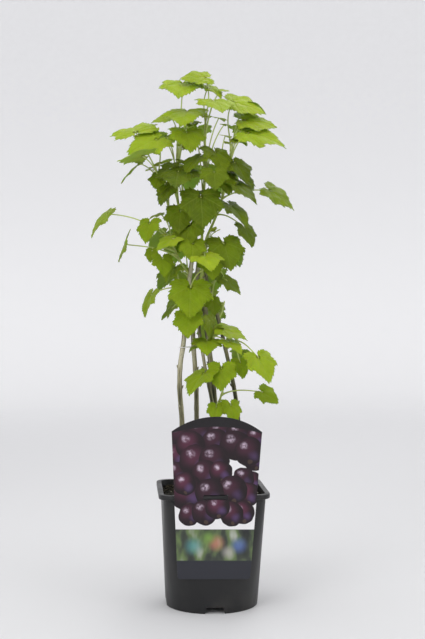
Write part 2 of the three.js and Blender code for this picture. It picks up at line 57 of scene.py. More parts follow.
# Stage, lamps and sky, in metres. A lamp is its place, the height it faces on the axis, its size and watts
STAGE_RADIUS, STAGE_BEND, STAGE_HEIGHT = 5.5, 2.5, 5.0
STAGE_SIDES, STAGE_BEND_STEPS = 96, 14
STAGE_FLAT_RINGS = (0.02, 1.0, 2.0, STAGE_RADIUS - STAGE_BEND)
LIGHTS = {
    "overhead": ((0.0, -0.2, 2.3), 0.4, 2.2, 16),
    "key": ((-1.4, -1.9, 1.5), 0.4, 1.3, 17),
    "fill": ((1.7, -1.5, 1.2), 0.35, 1.3, 6),
    "back": ((0.6, 1.5, 1.9), 0.55, 1.2, 8),
}
SKY_COLOUR, SKY_STRENGTH = (0.97, 0.97, 1.0, 1), 0.55

# Pot
POT_HEIGHT = 156
FOOT_HALF_WIDTH = 62
NECK_HALF_WIDTH = 67
LIP_HALF_WIDTH = 72.5
LIP_HEIGHT = 6.5
RIM_CORNER_RADIUS = 13
POT_WALL = 1.3
FLOOR_UNDERSIDE = 9
FLOOR_THICKNESS = 1.5
CENTRE_FOOT_RADIUS = 18
FOOT_BEVEL, INSIDE_BEVEL, RIM_BEVEL = 0.4, 0.3, 0.5
# The lip's section: height above the neck, and inset from its outside
LIP_SECTION = (
    (-0.5, LIP_HALF_WIDTH - NECK_HALF_WIDTH - 0.3), (0, 4.2), (0, 1), (0.35, 0.3), (1, 0),
    (LIP_HEIGHT - 1, 0), (LIP_HEIGHT - 0.3, 0.3), (LIP_HEIGHT, 1),
)
NOTCH_COUNT = 4
NOTCH_BOTTOM_WIDTH, NOTCH_TOP_WIDTH, NOTCH_HEIGHT = 26, 21, 8.5
NOTCH_START, NOTCH_DEPTH = 43, 30
DRAIN_COUNT, DRAIN_RADIUS, DRAIN_CIRCLE = 8, 5, 40
# How far a cutter runs past the faces it cuts
OVERRUN = 1
# Points on a rounded square: along each corner and along each side
POT_STEPS, SOIL_STEPS, DRAIN_STEPS = (22, 8), (18, 22), (8, 1)
# The wall's even rings, and how far they stay from the foot, the neck, the rim and the floor
OUTSIDE_RINGS, INSIDE_RINGS = 30, 12
FOOT_MARGIN, NECK_MARGIN, RIM_MARGIN, FLOOR_MARGIN = 4, 1.2, 6, 2
FLOOR_CORNER = 1
POT_SHARP_ANGLE = 38

# Compost
SOIL_LEVEL, SOIL_CROWN, SOIL_LUMP = 146, 3, 2.2
SOIL_LUMP_SPACING = (9, 11)
SOIL_INSET, SOIL_FOOT_INSET, SOIL_FLOOR_GAP = 1.6, 2.2, 0.3
SOIL_BODY_HEIGHTS = (80, 138)
SOIL_RINGS, SOIL_LAST_RING = 44, 0.02
SOIL_TONE = 0.3
SOIL_EDGE_DROP, SOIL_EDGE_SHARPNESS = 1.2, 12
# The surface's grain, with its fractal's falloff, step and layers, and a finer grain
SOIL_GRAIN, SOIL_GRAIN_HEIGHT, SOIL_FRACTAL = 5, 1.1, (0.9, 2.1, 4)
FINE_GRAIN_RATE, FINE_GRAIN_HEIGHT = 4, 0.5
CRUMB_COUNT, CHIP_COUNT = 620, 70
CRUMB_SIZE, CHIP_SIZE = (0.7, 2.3), (1.2, 2.4)
CRUMB_STRETCH, CHIP_STRETCH = (0.8, 1.5), (2.0, 4.0)
CRUMB_TONES, CHIP_TONE = (0.1, 0.15, 0.2, 0.25, 0.3, 0.35, 0.4, 0.45, 0.55, 0.9), (0.45, 0.75)
CRUMB_SIDES, CRUMB_TILT = 7, 0.5
CRUMB_ROUGHNESS, CRUMB_FLATNESS, CRUMB_LIFT = (0.75, 1.2), (0.6, 0.9), (-0.2, 0.9)
# Squared share of the way to the pot's wall that crumbs reach
CRUMB_SPREAD = 0.95
# A crumb's rings: height and width
CRUMB_RINGS = ((-0.7, 0.55), (-0.25, 0.95), (0.3, 0.9), (0.72, 0.5))

# Label
LABEL_THICKNESS = 0.8
LABEL_BOTTOM, LABEL_MIDDLE, LABEL_SHOULDER, LABEL_TOP = 46.5, 150, 239, 258.5
LABEL_BOTTOM_HALF_WIDTH, LABEL_SHOULDER_HALF_WIDTH = 47, 58
LABEL_CORNER = 4
LABEL_CORNER_STEPS, LABEL_SIDE_STEPS, LABEL_ARCH_STEPS = 9, 30, 25
LABEL_EDGE_INSET, LABEL_EDGE_DEPTH = 0.25, 0.2
LABEL_LEAN, LABEL_TURN = 4, 0.9
LABEL_GAP = 0.5
LABEL_SHARP_ANGLE, TONGUE_SHARP_ANGLE = 30, 40
TONGUE_WIDTH, TONGUE_CUT, TONGUE_LENGTH = 30, 1, 6
TONGUE_SLIM, TONGUE_GAP = 0.02, 0.3
SLOT_REACH = 2
# The tongue's bend: places behind and above the fold
TONGUE_BEND = ((0, 1.2), (0, 0.7), (0.2, 0.2), (0.7, 0))

# Print on the label
PRINT_UNIT = 100
PRINT_EDGE = 0.4
BAND_TOP, STRIP_TOP = 71, 112
ARCH_RADIUS, ARCH_CENTRE = 202, 43.5
# Added to the map height of the plate's plain back
BACK_SHIFT = 10
# Printed fruit from the back layer to the front: x, height, radius and ripeness
PRINT_FRUIT = (
    (-49, 236, 17, 0.2), (-22, 241, 17, 0.1), (4, 240, 17, 0.3), (28, 239, 16, 0.1), (51, 232, 15, 0.5),
    (-53, 208, 16, 0.9), (50, 203, 15, 0.4), (-2, 226, 18, 0.2), (-50, 186, 14, 0.3), (47, 176, 12, 0.9),
    (-34, 222, 19, 0.8), (24, 222, 20, 0.1), (41, 214, 19, 0.3), (-27, 202, 21, 0.7), (-3, 203, 20, 0.2),
    (-14, 184, 18, 0.4), (6, 187, 15, 0.9), (-37, 160, 24, 0.8), (-40, 171, 15, 1.0), (36, 180, 14, 0.2),
    (41, 158, 16, 0.9), (21, 163, 20, 0.3), (-8, 160, 19, 0.1), (-33, 131, 15, 0.5), (36, 134, 15, 1.0),
    (-14, 134, 17, 0.2), (21, 132, 16, 0.7), (3, 141, 16, 0.9),
)
# Soft spots of colour in the strip: x, height, radius and colour
PRINT_SPOTS = (
    (-27, 90, 12, (0.10, 0.30, 0.30)), (2, 94, 11, (0.50, 0.20, 0.14)), (31, 91, 11, (0.09, 0.15, 0.42)),
    (-8, 101, 10, (0.20, 0.36, 0.07)), (18, 82, 9, (0.42, 0.40, 0.36)),
)

# Leaf blades, in widths of the blade: across and along from the foot
BLADE_FOLD, BLADE_ARCH = 0.1, 0.26
BLADE_TIP = (0, 0.8)
BLADE_HALF = (
    (0.09, -0.13), (0.27, -0.19), (0.46, -0.09), (0.445, 0.08),
    (0.5, 0.32), (0.36, 0.43), (0.31, 0.57), (0.16, 0.7),
)
MAIN_VEINS = (0, 56, -56, 101, -101)
HALF_SAMPLES, SAMPLES_PER_TOOTH = 96, 6
EDGE_START, EDGE_SMOOTHNESS = 0.05, 0.55
LOBE_REACH, LOBE_RATE = 0.038, 7
TOOTH_DEPTH, TOOTH_LEAN, SMALL_TOOTH = 0.056, 0.5, 0.55
# Power of the ring's share by which the teeth fade inwards
TOOTH_FADE = 7
BLADE_RINGS = (0.1, 0.22, 0.35, 0.48, 0.61, 0.74, 0.86, 0.95, 1)
VEIN_GROOVE, VEIN_HALF_WIDTH = 0.011, 0.02
QUILT_SLOPE, QUILT_REACH = 0.05, 0.2
EDGE_WAVE, WAVE_RATES = 0.05, (3.5, 6.5)
BLADE_LEAN = 0.05
COCKLE_HEIGHT, COCKLE_RATES, COCKLE_START = 0.012, (19, 17), 4
# The blade's thickness and the ribs under it, in millimetres, and where the ribs end, in widths
BLADE_THICKNESS = 0.4
RIB_HEIGHT, RIB_HALF_WIDTH, RIB_END = 0.25, 0.7, 1.1

# Tubes: the tip's height in radii, and the length of one unit of the map
TUBE_TIP, TUBE_MAP_UNIT = 0.8, 10

# Leaf stalks, shoots and buds
LEAF_FINISH, STALK_FINISH = 0, 1
STALK_RADIUS = (1.05, 0.75)
STALK_SINK, STALK_HANDLE, STALK_BEND = 0.06, 0.35, 0.5
STALK_STEPS, STALK_SIDES = 20, 9
CLASP_WIDTH, CLASP_FADE = 0.9, 14
STALK_TONE, STALK_FOOT_SHADE, STALK_SHADE_FADE, STALK_TONE_SHARE = 0.88, 0.3, 9, 0.15
SHOOT_RINGS, SHOOT_SIDES = 40, 12
SHOOT_TONES = (0.5, 0.9)
KNOT_HEIGHT, KNOT_HALF_LENGTH = 0.22, 0.02
BUD_RINGS, BUD_SIDES = 8, 8
BUD_START, BUD_FULLNESS, BUD_TAPER, BUD_POINT = 0.08, 0.7, 0.45, 0.05
BUD_SCALES, BUD_SCALE_HEIGHT = 3, 0.08
# A bud is its length, its width and its tone
NOOK_BUD, TIP_BUD = (4.2, 2.0, 0.5), (7, 3.2, 0.95)
NOOK_BUD_SHORTEST_STALK = 14
# A nook bud's place along the stalk and above it, and how much it turns up
NOOK_ALONG, NOOK_ABOVE, NOOK_RISE = 1.2, 0.8, 0.9
TONE_SPREAD = 0.05
# Young leaves at a shoot's tip: the ranges they are drawn from
YOUNG_WIDTH, YOUNG_LIFT, YOUNG_REACH = (9, 15), (7, 14), (4, 8)
YOUNG_DROOP, YOUNG_ROLL = (-40, 0), (-20, 20)
YOUNG_FIRST_HEADING, YOUNG_TONE, YOUNG_SLIMNESS, YOUNG_SPACING = -60, 0.9, 0.55, 2

# Canes
CANE_RINGS, CANE_SIDES = 150, 22
CANE_SWELLING, CANE_BUDS, CANE_BUD_SHARPNESS = 0.09, 7, 8
CANE_BUD_LENGTH, CANE_BUD_WIDTH, CANE_BUD_TURN = 6, 2.8, 2.4
CANE_BUD_SEAT, CANE_BUD_LEAN, CANE_BUD_SHADE, CANE_BUD_CLEARANCE = 0.85, 0.45, 0.2, 8
DARKEST_BUD = 0.05
# Ridges in the bark: depth, and how often they come round the cane and up it
RIDGE_DEPTH, FINE_RIDGE_SHARE = 0.16, 0.5
RIDGE_RATES, FINE_RIDGE_RATES = (1.6, 14), (4, 40)
RIDGE_STARTS = (0, 50)
# A cane: its bark tone from dark to pale, its radius at foot and top, and its route
CANES = {
    "cane_a": (0.78, (3.7, 2.8), (
        (-36, -6, 106), (-38, -6, 170), (-40, -6, 246), (-43, -6, 290), (-42, -5, 322),
        (-38, -4, 348), (-35, -4, 378), (-32, -5, 410), (-29, -6, 441), (-25, -6, 472),
    )),
    "cane_b": (0.7, (3.6, 2.7), (
        (-17, 18, 106), (-18, 17, 170), (-19, 15, 246), (-19.5, 14, 286), (-21.5, 13, 320),
        (-24, 12, 356), (-23.5, 13, 394), (-19.5, 15, 434), (-15.5, 16, 466),
    )),
    "cane_c": (0.57, (4.8, 3), (
        (8, 0, 106), (7, 0, 170), (5, 0, 246), (2.5, 0, 290),
        (-3, 0, 340), (-6.5, 0, 374), (-9.5, 0, 407), (-11.5, -1, 438),
    )),
    "cane_d": (0.4, (3.1, 2.4), (
        (38, 8, 106), (38, 8, 170), (37, 8, 246), (30.5, 8, 293), (23, 9, 327),
        (13, 11, 371), (2.5, 14, 408), (-4, 16, 430), (-8.5, 18, 452), (-10, 19, 472),
    )),
    "cane_e": (0.6, (2.7, 2), (
        (6, -14, 106), (5, -13, 190), (1, -12, 262), (-3.5, -12, 289), (-9, -12, 315),
        (-13, -12, 340), (-17, -12, 364), (-18, -12, 394), (-15, -13, 430),
    )),
}

# Shoots: radius at foot and top, route, young leaves at the tip, and leaves
# A leaf: its place up the shoot, the blade's foot x y z, its heading, droop and roll in degrees, its width,
# and its tone from dark to bright
SHOOTS = {
    "shoot_a": ((2, 1.1), (
        (-25, -6, 470), (-34, -8, 492), (-48, -7, 510), (-57, -4, 530), (-63, -2, 552), (-72, 2, 575),
    ), 3, (
        (0.95, -101, 0, 631, 100, -28, -18, 60, 0.72), (0.97, -72, -14, 621, 203, 20, -30, 55, 0.68),
        (0.88, -91, -34, 596, 210, 4, 16, 48, 0.8), (0.82, -94, 6, 592, 192, 36, 8, 46, 0.45),
        (0.91, -56, 22, 597, 165, 6, -16, 24, 0.8), (0.6, -60, -8, 562, 240, 64, 0, 28, 0.38),
        (0.7, -66, -14, 575, -120, 40, 0, 34, 0.35),
    )),
    "shoot_b": ((2, 1.1), (
        (-15.5, 16, 464), (-24, 15, 486), (-36, 12, 510), (-44, 10, 535), (-47, 11, 568), (-45, 12, 604),
    ), 3, (
        (0.97, -38, 12, 701, -100, 24, 0, 56, 0.76), (0.94, -52, 14, 655, 184, 8, -24, 34, 0.8),
        (0.9, -33, -6, 660, -104, 22, 0, 56, 0.66), (0.84, -35, -24, 630, -80, 40, 0, 46, 0.42),
        (0.58, -45, -22, 578, -98, 22, 0, 56, 0.14), (0.8, -58, 44, 634, 125, 14, 0, 46, 0.5),
        (0.66, -30, 52, 590, 80, 32, 0, 48, 0.4), (0.38, -42, -20, 527, -104, 56, 0, 42, 0.16),
        (0.5, -56, -10, 560, -140, 50, 0, 38, 0.2), (0.25, -34, -14, 500, -130, 50, 0, 40, 0.3),
        (0.3, -53, -2, 590, -120, 20, 0, 26, 0.3), (0.36, -36, 0, 594, -60, 20, 0, 26, 0.3),
        (0.26, -43, -4, 586, -95, 15, 0, 24, 0.3), (0.7, -30, 4, 648, -70, 14, 0, 26, 0.6),
        (0.5, -60, 8, 622, 215, 10, 0, 20, 0.7),
    )),
    "shoot_c": ((2.2, 1.1), (
        (-11.5, -1, 436), (-13, -2, 480), (-12, -3, 520), (-10, -3, 560), (-9, -2, 600), (-8, 0, 645),
    ), 3, (
        (0.97, -7, 2, 706, 192, -2, -36, 42, 0.72), (0.95, -4, 10, 696, -38, 28, 8, 32, 0.7),
        (0.93, 13, 6, 690, 5, -6, 24, 14, 0.8), (0.9, 2, -18, 672, -78, 20, 0, 50, 0.72),
        (0.7, -16, -20, 598, 222, 30, 0, 42, 0.25), (0.73, 3, -18, 605, -62, 42, 0, 44, 0.2),
        (0.6, 0, -46, 575, -88, 46, 0, 36, 0.2), (0.5, -17, -40, 544, -84, 60, 0, 55, 0.12),
        (0.85, -16, 44, 646, 95, 14, 0, 40, 0.5), (0.62, 12, -24, 572, -70, 40, 0, 40, 0.16),
        (0.42, -30, -30, 508, -120, 58, 0, 44, 0.22), (0.55, 9, -6, 651, -60, 12, 0, 18, 0.8),
        (0.6, 16, -5, 642, -40, 0, 0, 13, 0.85), (0.5, -24, 4, 646, -110, 10, 0, 24, 0.6),
        (0.34, -20, -8, 552, -110, 20, 0, 24, 0.25),
    )),
    "shoot_d": ((2, 1.1), (
        (-10, 19, 470), (-5, 17, 492), (6, 12, 518), (15, 8, 545), (23, 6, 575), (27, 4, 612),
    ), 3, (
        (0.97, 27, 5, 675, -10, 12, 30, 57, 0.75), (0.92, 52, 26, 676, 10, 12, 0, 30, 0.75),
        (0.94, 42, -4, 649, 2, 2, 30, 55, 0.7), (0.86, 44, -24, 629, -6, 8, 32, 64, 0.76),
        (0.72, 26, 5, 588, -20, 32, 10, 52, 0.15), (0.58, 30, -20, 563, -26, 34, 10, 48, 0.16),
        (0.46, 23, -18, 534, -36, 36, 6, 46, 0.18), (0.53, 78, 0, 556, -8, 30, 30, 50, 0.32),
        (0.38, 43, -12, 505, -44, 54, 0, 36, 0.12), (0.8, 46, 40, 646, 50, 14, 0, 44, 0.5),
        (0.62, 14, 56, 590, 78, 36, 0, 50, 0.35), (0.66, 29, -12, 592, -48, 40, 8, 44, 0.14),
        (0.55, 18, -2, 628, -60, 10, 0, 16, 0.8), (0.6, 34, 2, 622, -50, 14, 0, 24, 0.6),
    )),
    "shoot_e": ((1.8, 1.1), (
        (-15, -13, 428), (-14, -16, 446), (-10, -19, 466), (-6, -21, 486),
    ), 2, (
        (0.92, -52, -36, 488, 206, 24, -16, 34, 0.85), (0.87, -28, -44, 482, -92, 54, 0, 34, 0.4),
        (0.78, -13, -48, 466, -76, 24, 0, 42, 0.78), (0.96, 14, -26, 484, -66, 54, 8, 50, 0.22),
        (0.3, -30, -34, 426, -96, 54, 0, 55, 0.42), (0.55, -4, -40, 462, -80, 55, 0, 36, 0.38),
    )),
    "side_a": ((1.6, 1), (
        (-29, -6, 441), (-38, -8, 452), (-47, -10, 468), (-54, -12, 486),
    ), 2, (
        (0.97, -138, -8, 523, 190, 44, -8, 46, 0.42), (0.5, -116, -6, 482, -100, 16, 70, 42, 0.42),
        (0.94, -83, -22, 510, 234, 58, 0, 34, 0.45), (0.9, -67, 4, 523, 176, 10, -14, 20, 0.38),
        (0.7, -80, -24, 473, 238, 62, 0, 20, 0.38), (0.6, -67, -32, 463, -70, 62, 0, 30, 0.48),
        (0.8, -60, 36, 500, 140, 36, 0, 46, 0.4),
    )),
    "side_a_low": ((1.5, 1), (
        (-32.5, -5, 405), (-39, -10, 414), (-44, -14, 424),
    ), 0, (
        (0.9, -80, -12, 416, 200, 58, 0, 38, 0.48), (0.4, -52, -4, 397, 188, 36, -6, 26, 0.38),
        (0.97, -50, -14, 449, 200, 44, -14, 26, 0.42), (0.6, -33, -38, 388, -98, 58, 0, 38, 0.52),
    )),
    "side_d": ((1.6, 1), (
        (-3, 15.5, 427), (6, 14, 434), (13, 12, 446),
    ), 0, (
        (0.8, 4, -6, 446, -50, 52, 0, 22, 0.2), (0.97, 19, -6, 434, -14, 34, 24, 32, 0.24),
        (0.5, 0, -10, 408, -58, 62, 0, 26, 0.32), (0.9, 26, 36, 480, 40, 36, 0, 40, 0.4),
        (0.7, 4, 44, 446, 84, 44, 0, 42, 0.36),
    )),
    "side_c": ((1.5, 1), (
        (-3.5, 0, 343), (0, -6, 352), (2, -12, 362),
    ), 2, (
        (0.9, -8, -26, 354, -94, 20, 0, 38, 0.56), (0.8, 19, -28, 353, -40, 24, 6, 32, 0.85),
        (0.6, -22, -27, 347, 202, 28, 0, 16, 0.42), (0.96, -5, -29, 382, -24, 78, 8, 33, 0.36),
    )),
    "side_d_low": ((1.5, 1), (
        (20, 9.3, 340), (27, 5, 346), (34, 0, 354),
    ), 0, (
        (0.96, 13, -20, 369, -14, 14, 22, 42, 0.7), (0.7, 36, -24, 326, -62, 62, 0, 28, 0.6),
        (0.88, 59, -32, 333, -50, 48, 10, 46, 0.74), (0.92, 42, 30, 336, 60, 40, 0, 30, 0.45),
    )),
    "basal": ((1.7, 1.1), (
        (4.5, 0, 258), (9, -6, 268), (13, -11, 282), (17, -14, 296),
    ), 2, (
        (0.8, -12, -38, 312, 222, 32, 0, 46, 0.58), (0.96, 10, -44, 320, -100, 62, 0, 38, 0.52),
        (0.6, 66, -14, 285, -18, 26, 38, 32, 0.42), (0.3, 4, -36, 268, -112, 66, 0, 25, 0.62),
        (0.4, 23, -30, 270, -56, 62, 0, 32, 0.6),
    )),
    "back_b": ((1.6, 1), (
        (-22, 14, 412), (-26, 22, 424), (-30, 30, 440),
    ), 2, (
        (0.94, -48, 46, 452, 142, 40, 0, 48, 0.4), (0.8, -26, 54, 440, 96, 46, 0, 46, 0.42),
        (0.5, -44, 34, 412, 158, 50, 0, 38, 0.36), (0.97, -36, 50, 488, 112, 34, 0, 46, 0.45),
    )),
    "back_d": ((1.6, 1), (
        (10, 12, 381), (15, 20, 390), (19, 28, 402),
    ), 0, (
        (0.9, -6, 46, 416, 110, 40, 0, 40, 0.42), (0.96, 4, 52, 394, 86, 48, 0, 38, 0.38),
        (0.5, 2, 36, 372, 118, 54, 0, 36, 0.36),
    )),
}

# String round the canes
TIE_HEIGHT = 344
TIE_ROUTE = (
    (-43.4, -4.2), (-40.2, -8.8), (-27, -12.8), (-15, -15.8), (-10.8, -14.8), (0.8, -3.8),
    (2.2, 0.3), (-0.4, 4.8), (-20.8, 16.4), (-26.4, 15.8), (-42.2, -1),
)
STRAND_COUNT, STRAND_RADIUS, STRAND_OFFSET = 2, 0.4, 0.32
STRAND_TURNS, STRAND_STEPS, STRAND_SIDES = 44, 560, 8


# Mesh making

def new_object(name, data):
    made = bpy.data.objects.new(name, data)
    bpy.context.scene.collection.objects.link(made)
    return made


class MeshParts:
    """Gathers shells of points and faces into one mesh, with a tone, a side and a flat map to paint by."""

    def __init__(self):
        self.points, self.tone, self.under = [], [], []
        self.faces, self.maps, self.finish = [], [], []
        self.count = 0

    def add(self, points, faces, maps, finish=0, tone=0.5, under=0.0):
        """faces and maps are lists of arrays: corners (n, k) and their map points (n, k, 2)."""
        self.points.append(points)
        self.tone.append(np.broadcast_to(tone, len(points)))
        self.under.append(np.broadcast_to(under, len(points)))
        for corners, flat in zip(faces, maps):
            self.faces.append(corners + self.count)
            self.maps.append(flat)
            self.finish.append(np.full(len(corners), finish))
        self.count += len(points)

    def make(self, name, materials, sharp_angle=None):
        mesh = bpy.data.meshes.new(name)
        mesh.vertices.add(self.count)
        mesh.vertices.foreach_set("co", np.concatenate(self.points).ravel() * MM)
        corners = np.concatenate([f.ravel() for f in self.faces])
        sizes = np.concatenate([np.full(len(f), f.shape[1]) for f in self.faces])
        mesh.loops.add(len(corners))
        mesh.loops.foreach_set("vertex_index", corners)
        mesh.polygons.add(len(sizes))
        mesh.polygons.foreach_set("loop_start", np.concatenate([[0], np.cumsum(sizes)[:-1]]))
        mesh.polygons.foreach_set("material_index", np.concatenate(self.finish))
        flat = mesh.uv_layers.new(name="flat")
        flat.data.foreach_set("uv", np.concatenate([m.ravel() for m in self.maps]))
        for label, values in (("tone", self.tone), ("under", self.under)):
            layer = mesh.attributes.new(label, "FLOAT", "POINT")
            layer.data.foreach_set("value", np.concatenate(values))
        for material in materials:
            mesh.materials.append(material)
        mesh.update(calc_edges=True)
        mesh.validate()
        mesh.polygons.foreach_set("use_smooth", np.ones(len(mesh.polygons), bool))
        if sharp_angle is not None:
            mesh.set_sharp_from_angle(angle=math.radians(sharp_angle))
        return new_object(name, mesh)


def grid_faces(rows, columns, wrap=False):
    """Four-cornered faces over points laid out row by row; wrap joins the last column to the first."""
    last = columns if wrap else columns - 1
    row, column = np.meshgrid(np.arange(rows - 1), np.arange(last), indexing="ij")
    beside = (column + 1) % columns
    corners = [row * columns + column, row * columns + beside,
               (row + 1) * columns + beside, (row + 1) * columns + column]
    return np.stack(corners, axis=-1).reshape(-1, 4)


def fan_faces(centre, ring, flip=False):
    """Triangles from a centre point to a closed ring of point numbers."""
    after = np.roll(ring, -1)
    pair = (after, ring) if flip else (ring, after)
    return np.stack([np.full(len(ring), centre), *pair], axis=-1)


def skin_faces(rows, sides):
    """The faces of a closed skin: rings of points, then the middles of its first and its last cap."""
    ring = np.arange(sides)
    return [grid_faces(rows, sides, wrap=True), fan_faces(rows * sides, ring, flip=True),
            fan_faces(rows * sides + 1, (rows - 1) * sides + ring)]


def add_loft(parts, rings, tone=0.5):
    """A closed skin over rings that starts and ends in a flat cap."""
    body = np.concatenate([*rings, [rings[0].mean(axis=0)], [rings[-1].mean(axis=0)]])
    faces = skin_faces(len(rings), len(rings[0]))
    parts.add(body, faces, [body[f][..., :2] / PRINT_UNIT for f in faces], 0, tone)


def unit(vector):
    return vector / np.linalg.norm(vector, axis=-1, keepdims=True)


def circle(sides):
    return np.linspace(0, 2 * np.pi, sides, endpoint=False)


def taper(ends, share):
    return ends[0] + (ends[1] - ends[0]) * share


def run_along(points):
    """The length of the line from its start to each of its points."""
    return np.concatenate([[0], np.cumsum(np.linalg.norm(np.diff(points, axis=0), axis=1))])


def bezier(steps, a, b, c, d):
    t = np.linspace(0, 1, steps)[:, None]
    return (1 - t) ** 3 * a + 3 * (1 - t) ** 2 * t * b + 3 * (1 - t) * t * t * c + t ** 3 * d


class Route:
    """A smooth curve through points, read by its share of the length."""

    STEPS = 24

    def __init__(self, points, closed=False):
        p = [np.array(q, float) for q in points]
        if closed:
            p = [p[-1], *p, p[0], p[1]]
        else:
            p = [2 * p[0] - p[1], *p, 2 * p[-1] - p[-2]]
        spans = len(p) - 3
        shares = np.arange(spans * self.STEPS + 1) / self.STEPS
        self.dense = np.array([self.between(p, min(int(share), spans - 1), share) for share in shares])
        run = run_along(self.dense)
        self.share = run / run[-1]

    @staticmethod
    def between(points, span, share):
        """The point at a share of one span of a Catmull-Rom curve with centripetal knots."""
        four = points[span:span + 4]
        knots = [0.0]
        for a, b in zip(four, four[1:]):
            knots.append(knots[-1] + np.linalg.norm(b - a) ** 0.5)
        t = knots[1] + (knots[2] - knots[1]) * (share - span)
        level = four
        for width in (1, 2):
            level = [((knots[i + width] - t) * level[i] + (t - knots[i]) * level[i + 1])
                     / (knots[i + width] - knots[i]) for i in range(len(level) - 1)]
        return ((knots[2] - t) * level[0] + (t - knots[1]) * level[1]) / (knots[2] - knots[1])

    def at(self, share):
        return np.stack([np.interp(share, self.share, axis) for axis in self.dense.T], axis=-1)


def carried_frames(points):
    """Two axes across a line of points, turned as little as possible from one point to the next."""
    ahead = unit(np.gradient(points, axis=0))
    start = np.array([1.0, 0, 0]) if abs(ahead[0][0]) < 0.8 else np.array([0, 1.0, 0])
    side = unit(np.cross(ahead[0], start))
    sides = []
    for direction in ahead:
        side = unit(side - direction * side.dot(direction))
        sides.append(side)
    return np.array(sides), np.cross(ahead, sides)


def add_tube(parts, points, radii, sides, finish=0, tone=0.5, relief=0.0):
    """A closed tube along points, with a tone for each. relief, by ring and side, is added to its radius."""
    across, over = carried_frames(points)
    turn = circle(sides)[None, :, None]
    radius = radii[:, None] + relief + np.zeros(sides)
    rings = (points[:, None] + radius[..., None]
             * (np.cos(turn) * across[:, None] + np.sin(turn) * over[:, None]))
    tip = points[-1] + unit(points[-1] - points[-2]) * TUBE_TIP * radius[-1].mean()
    run = run_along(points) / TUBE_MAP_UNIT
    quads, start, end = skin_faces(len(points), sides)
    row, column = np.divmod(quads, sides)
    around = column / sides
    around[:, 1:3] = np.where(around[:, 1:3] < around[:, :1], 1.0, around[:, 1:3])
    maps = [np.stack([around, run[row]], axis=-1), np.zeros((sides, 3, 2)), np.full((sides, 3, 2), run[-1])]
    tones = np.broadcast_to(tone, len(points))
    parts.add(np.concatenate([rings.reshape(-1, 3), [points[0], tip]]), [quads, start, end], maps, finish,
              np.append(np.repeat(tones, sides), tones[[0, -1]]))


def add_bud(parts, foot, direction, length, width, finish, tone):
    """A pointed bud with overlapping scales that sits on a stem."""
    share = np.linspace(0, 1, BUD_RINGS)
    swell = np.sin(np.pi * taper((BUD_START, 1), share)).clip(0) ** BUD_FULLNESS * (1 - BUD_TAPER * share)
    scales = 1 + BUD_SCALE_HEIGHT * np.cos(2 * np.pi * BUD_SCALES * share)
    points = foot + share[:, None] * unit(direction) * length
    add_tube(parts, points, width / 2 * swell * scales + BUD_POINT, BUD_SIDES, finish, tone)


# Materials

class Paint:
    """One material: steps of shading for a Principled surface, with even values on its own sockets."""

    def __init__(self, name, **even):
        self.material = bpy.data.materials.new(name)
        self.material.use_nodes = True
        self.tree = self.material.node_tree
        self.surface = self.tree.nodes["Principled BSDF"].inputs
        for socket, value in even.items():
            self.surface[socket.replace("_", " ")].default_value = value

    def node(self, kind, inputs=None, **settings):
        """Adds a shader node, links or sets its inputs, and returns its outputs."""
        made = self.tree.nodes.new("ShaderNode" + kind)
        for name, value in settings.items():
            setattr(made, name, value)
        for name, value in (inputs or {}).items():
            if isinstance(value, bpy.types.NodeSocket):
                self.tree.links.new(value, made.inputs[name])
            else:
                made.inputs[name].default_value = value
        return made.outputs

    def place(self):
        return self.node("TexCoord")["Object"]

    def flat(self):
        return self.node("UVMap", uv_map="flat")["UV"]

    def attribute(self, name):
        return self.node("Attribute", attribute_name=name)["Fac"]

    def calc(self, operation, *values):
        return self.node("Math", dict(enumerate(values)), operation=operation)[0]

    def add(self, *values):
        return self.calc("ADD", *values)

    def less(self, *values):
        return self.calc("SUBTRACT", *values)

    def times(self, *values):
        return self.calc("MULTIPLY", *values)

    def most(self, *values):
        return self.calc("MAXIMUM", *values)

    def vectors(self, operation, *values):
        return self.node("VectorMath", dict(enumerate(values)), operation=operation)

    def fade(self, value, start, end, low=0.0, high=1.0):
        """Goes smoothly from low to high as value goes from start to end."""
        inputs = {"Value": value, "From Min": start, "From Max": end, "To Min": low, "To Max": high}
        return self.node("MapRange", inputs, interpolation_type="SMOOTHSTEP")[0]

    def ramp(self, value, *stops):
        made = self.tree.nodes.new("ShaderNodeValToRGB")
        elements = made.color_ramp.elements
        while len(elements) < len(stops):
            elements.new(0.5)
        for element, (position, colour) in zip(elements, stops):
            element.position = position
            element.color = (*colour, 1)
        self.tree.links.new(value, made.inputs["Fac"])
        return made.outputs["Color"]

    def mix(self, share, first, second):
        sockets = {"Fac": share}
        for name, colour in (("Color1", first), ("Color2", second)):
            sockets[name] = colour if isinstance(colour, bpy.types.NodeSocket) else (*colour, 1)
        return self.node("MixRGB", sockets)[0]

    def noise(self, vector, scale, detail=3.0, roughness=0.55):
        inputs = {"Vector": vector, "Scale": scale, "Detail": detail, "Roughness": roughness}
        return self.node("TexNoise", inputs)["Fac"]

    def stretch(self, vector, scale):
        return self.node("Mapping", {"Vector": vector, "Scale": scale})[0]

    def toned(self, *patterns):
        """The mesh's own tone, moved by patterns about their middle, each given with its reach."""
        tone = self.attribute("tone")
        for pattern, reach in patterns:
            tone = self.add(tone, self.times(self.less(pattern, 0.5), reach))
        return tone

    def finish(self, colour, roughness, height, strength, distance):
        bump = self.node("Bump", {"Height": height, "Strength": strength, "Distance": distance})["Normal"]
        for socket, value in (("Base Color", colour), ("Roughness", roughness), ("Normal", bump)):
            self.tree.links.new(value, self.surface[socket])
        return self.material


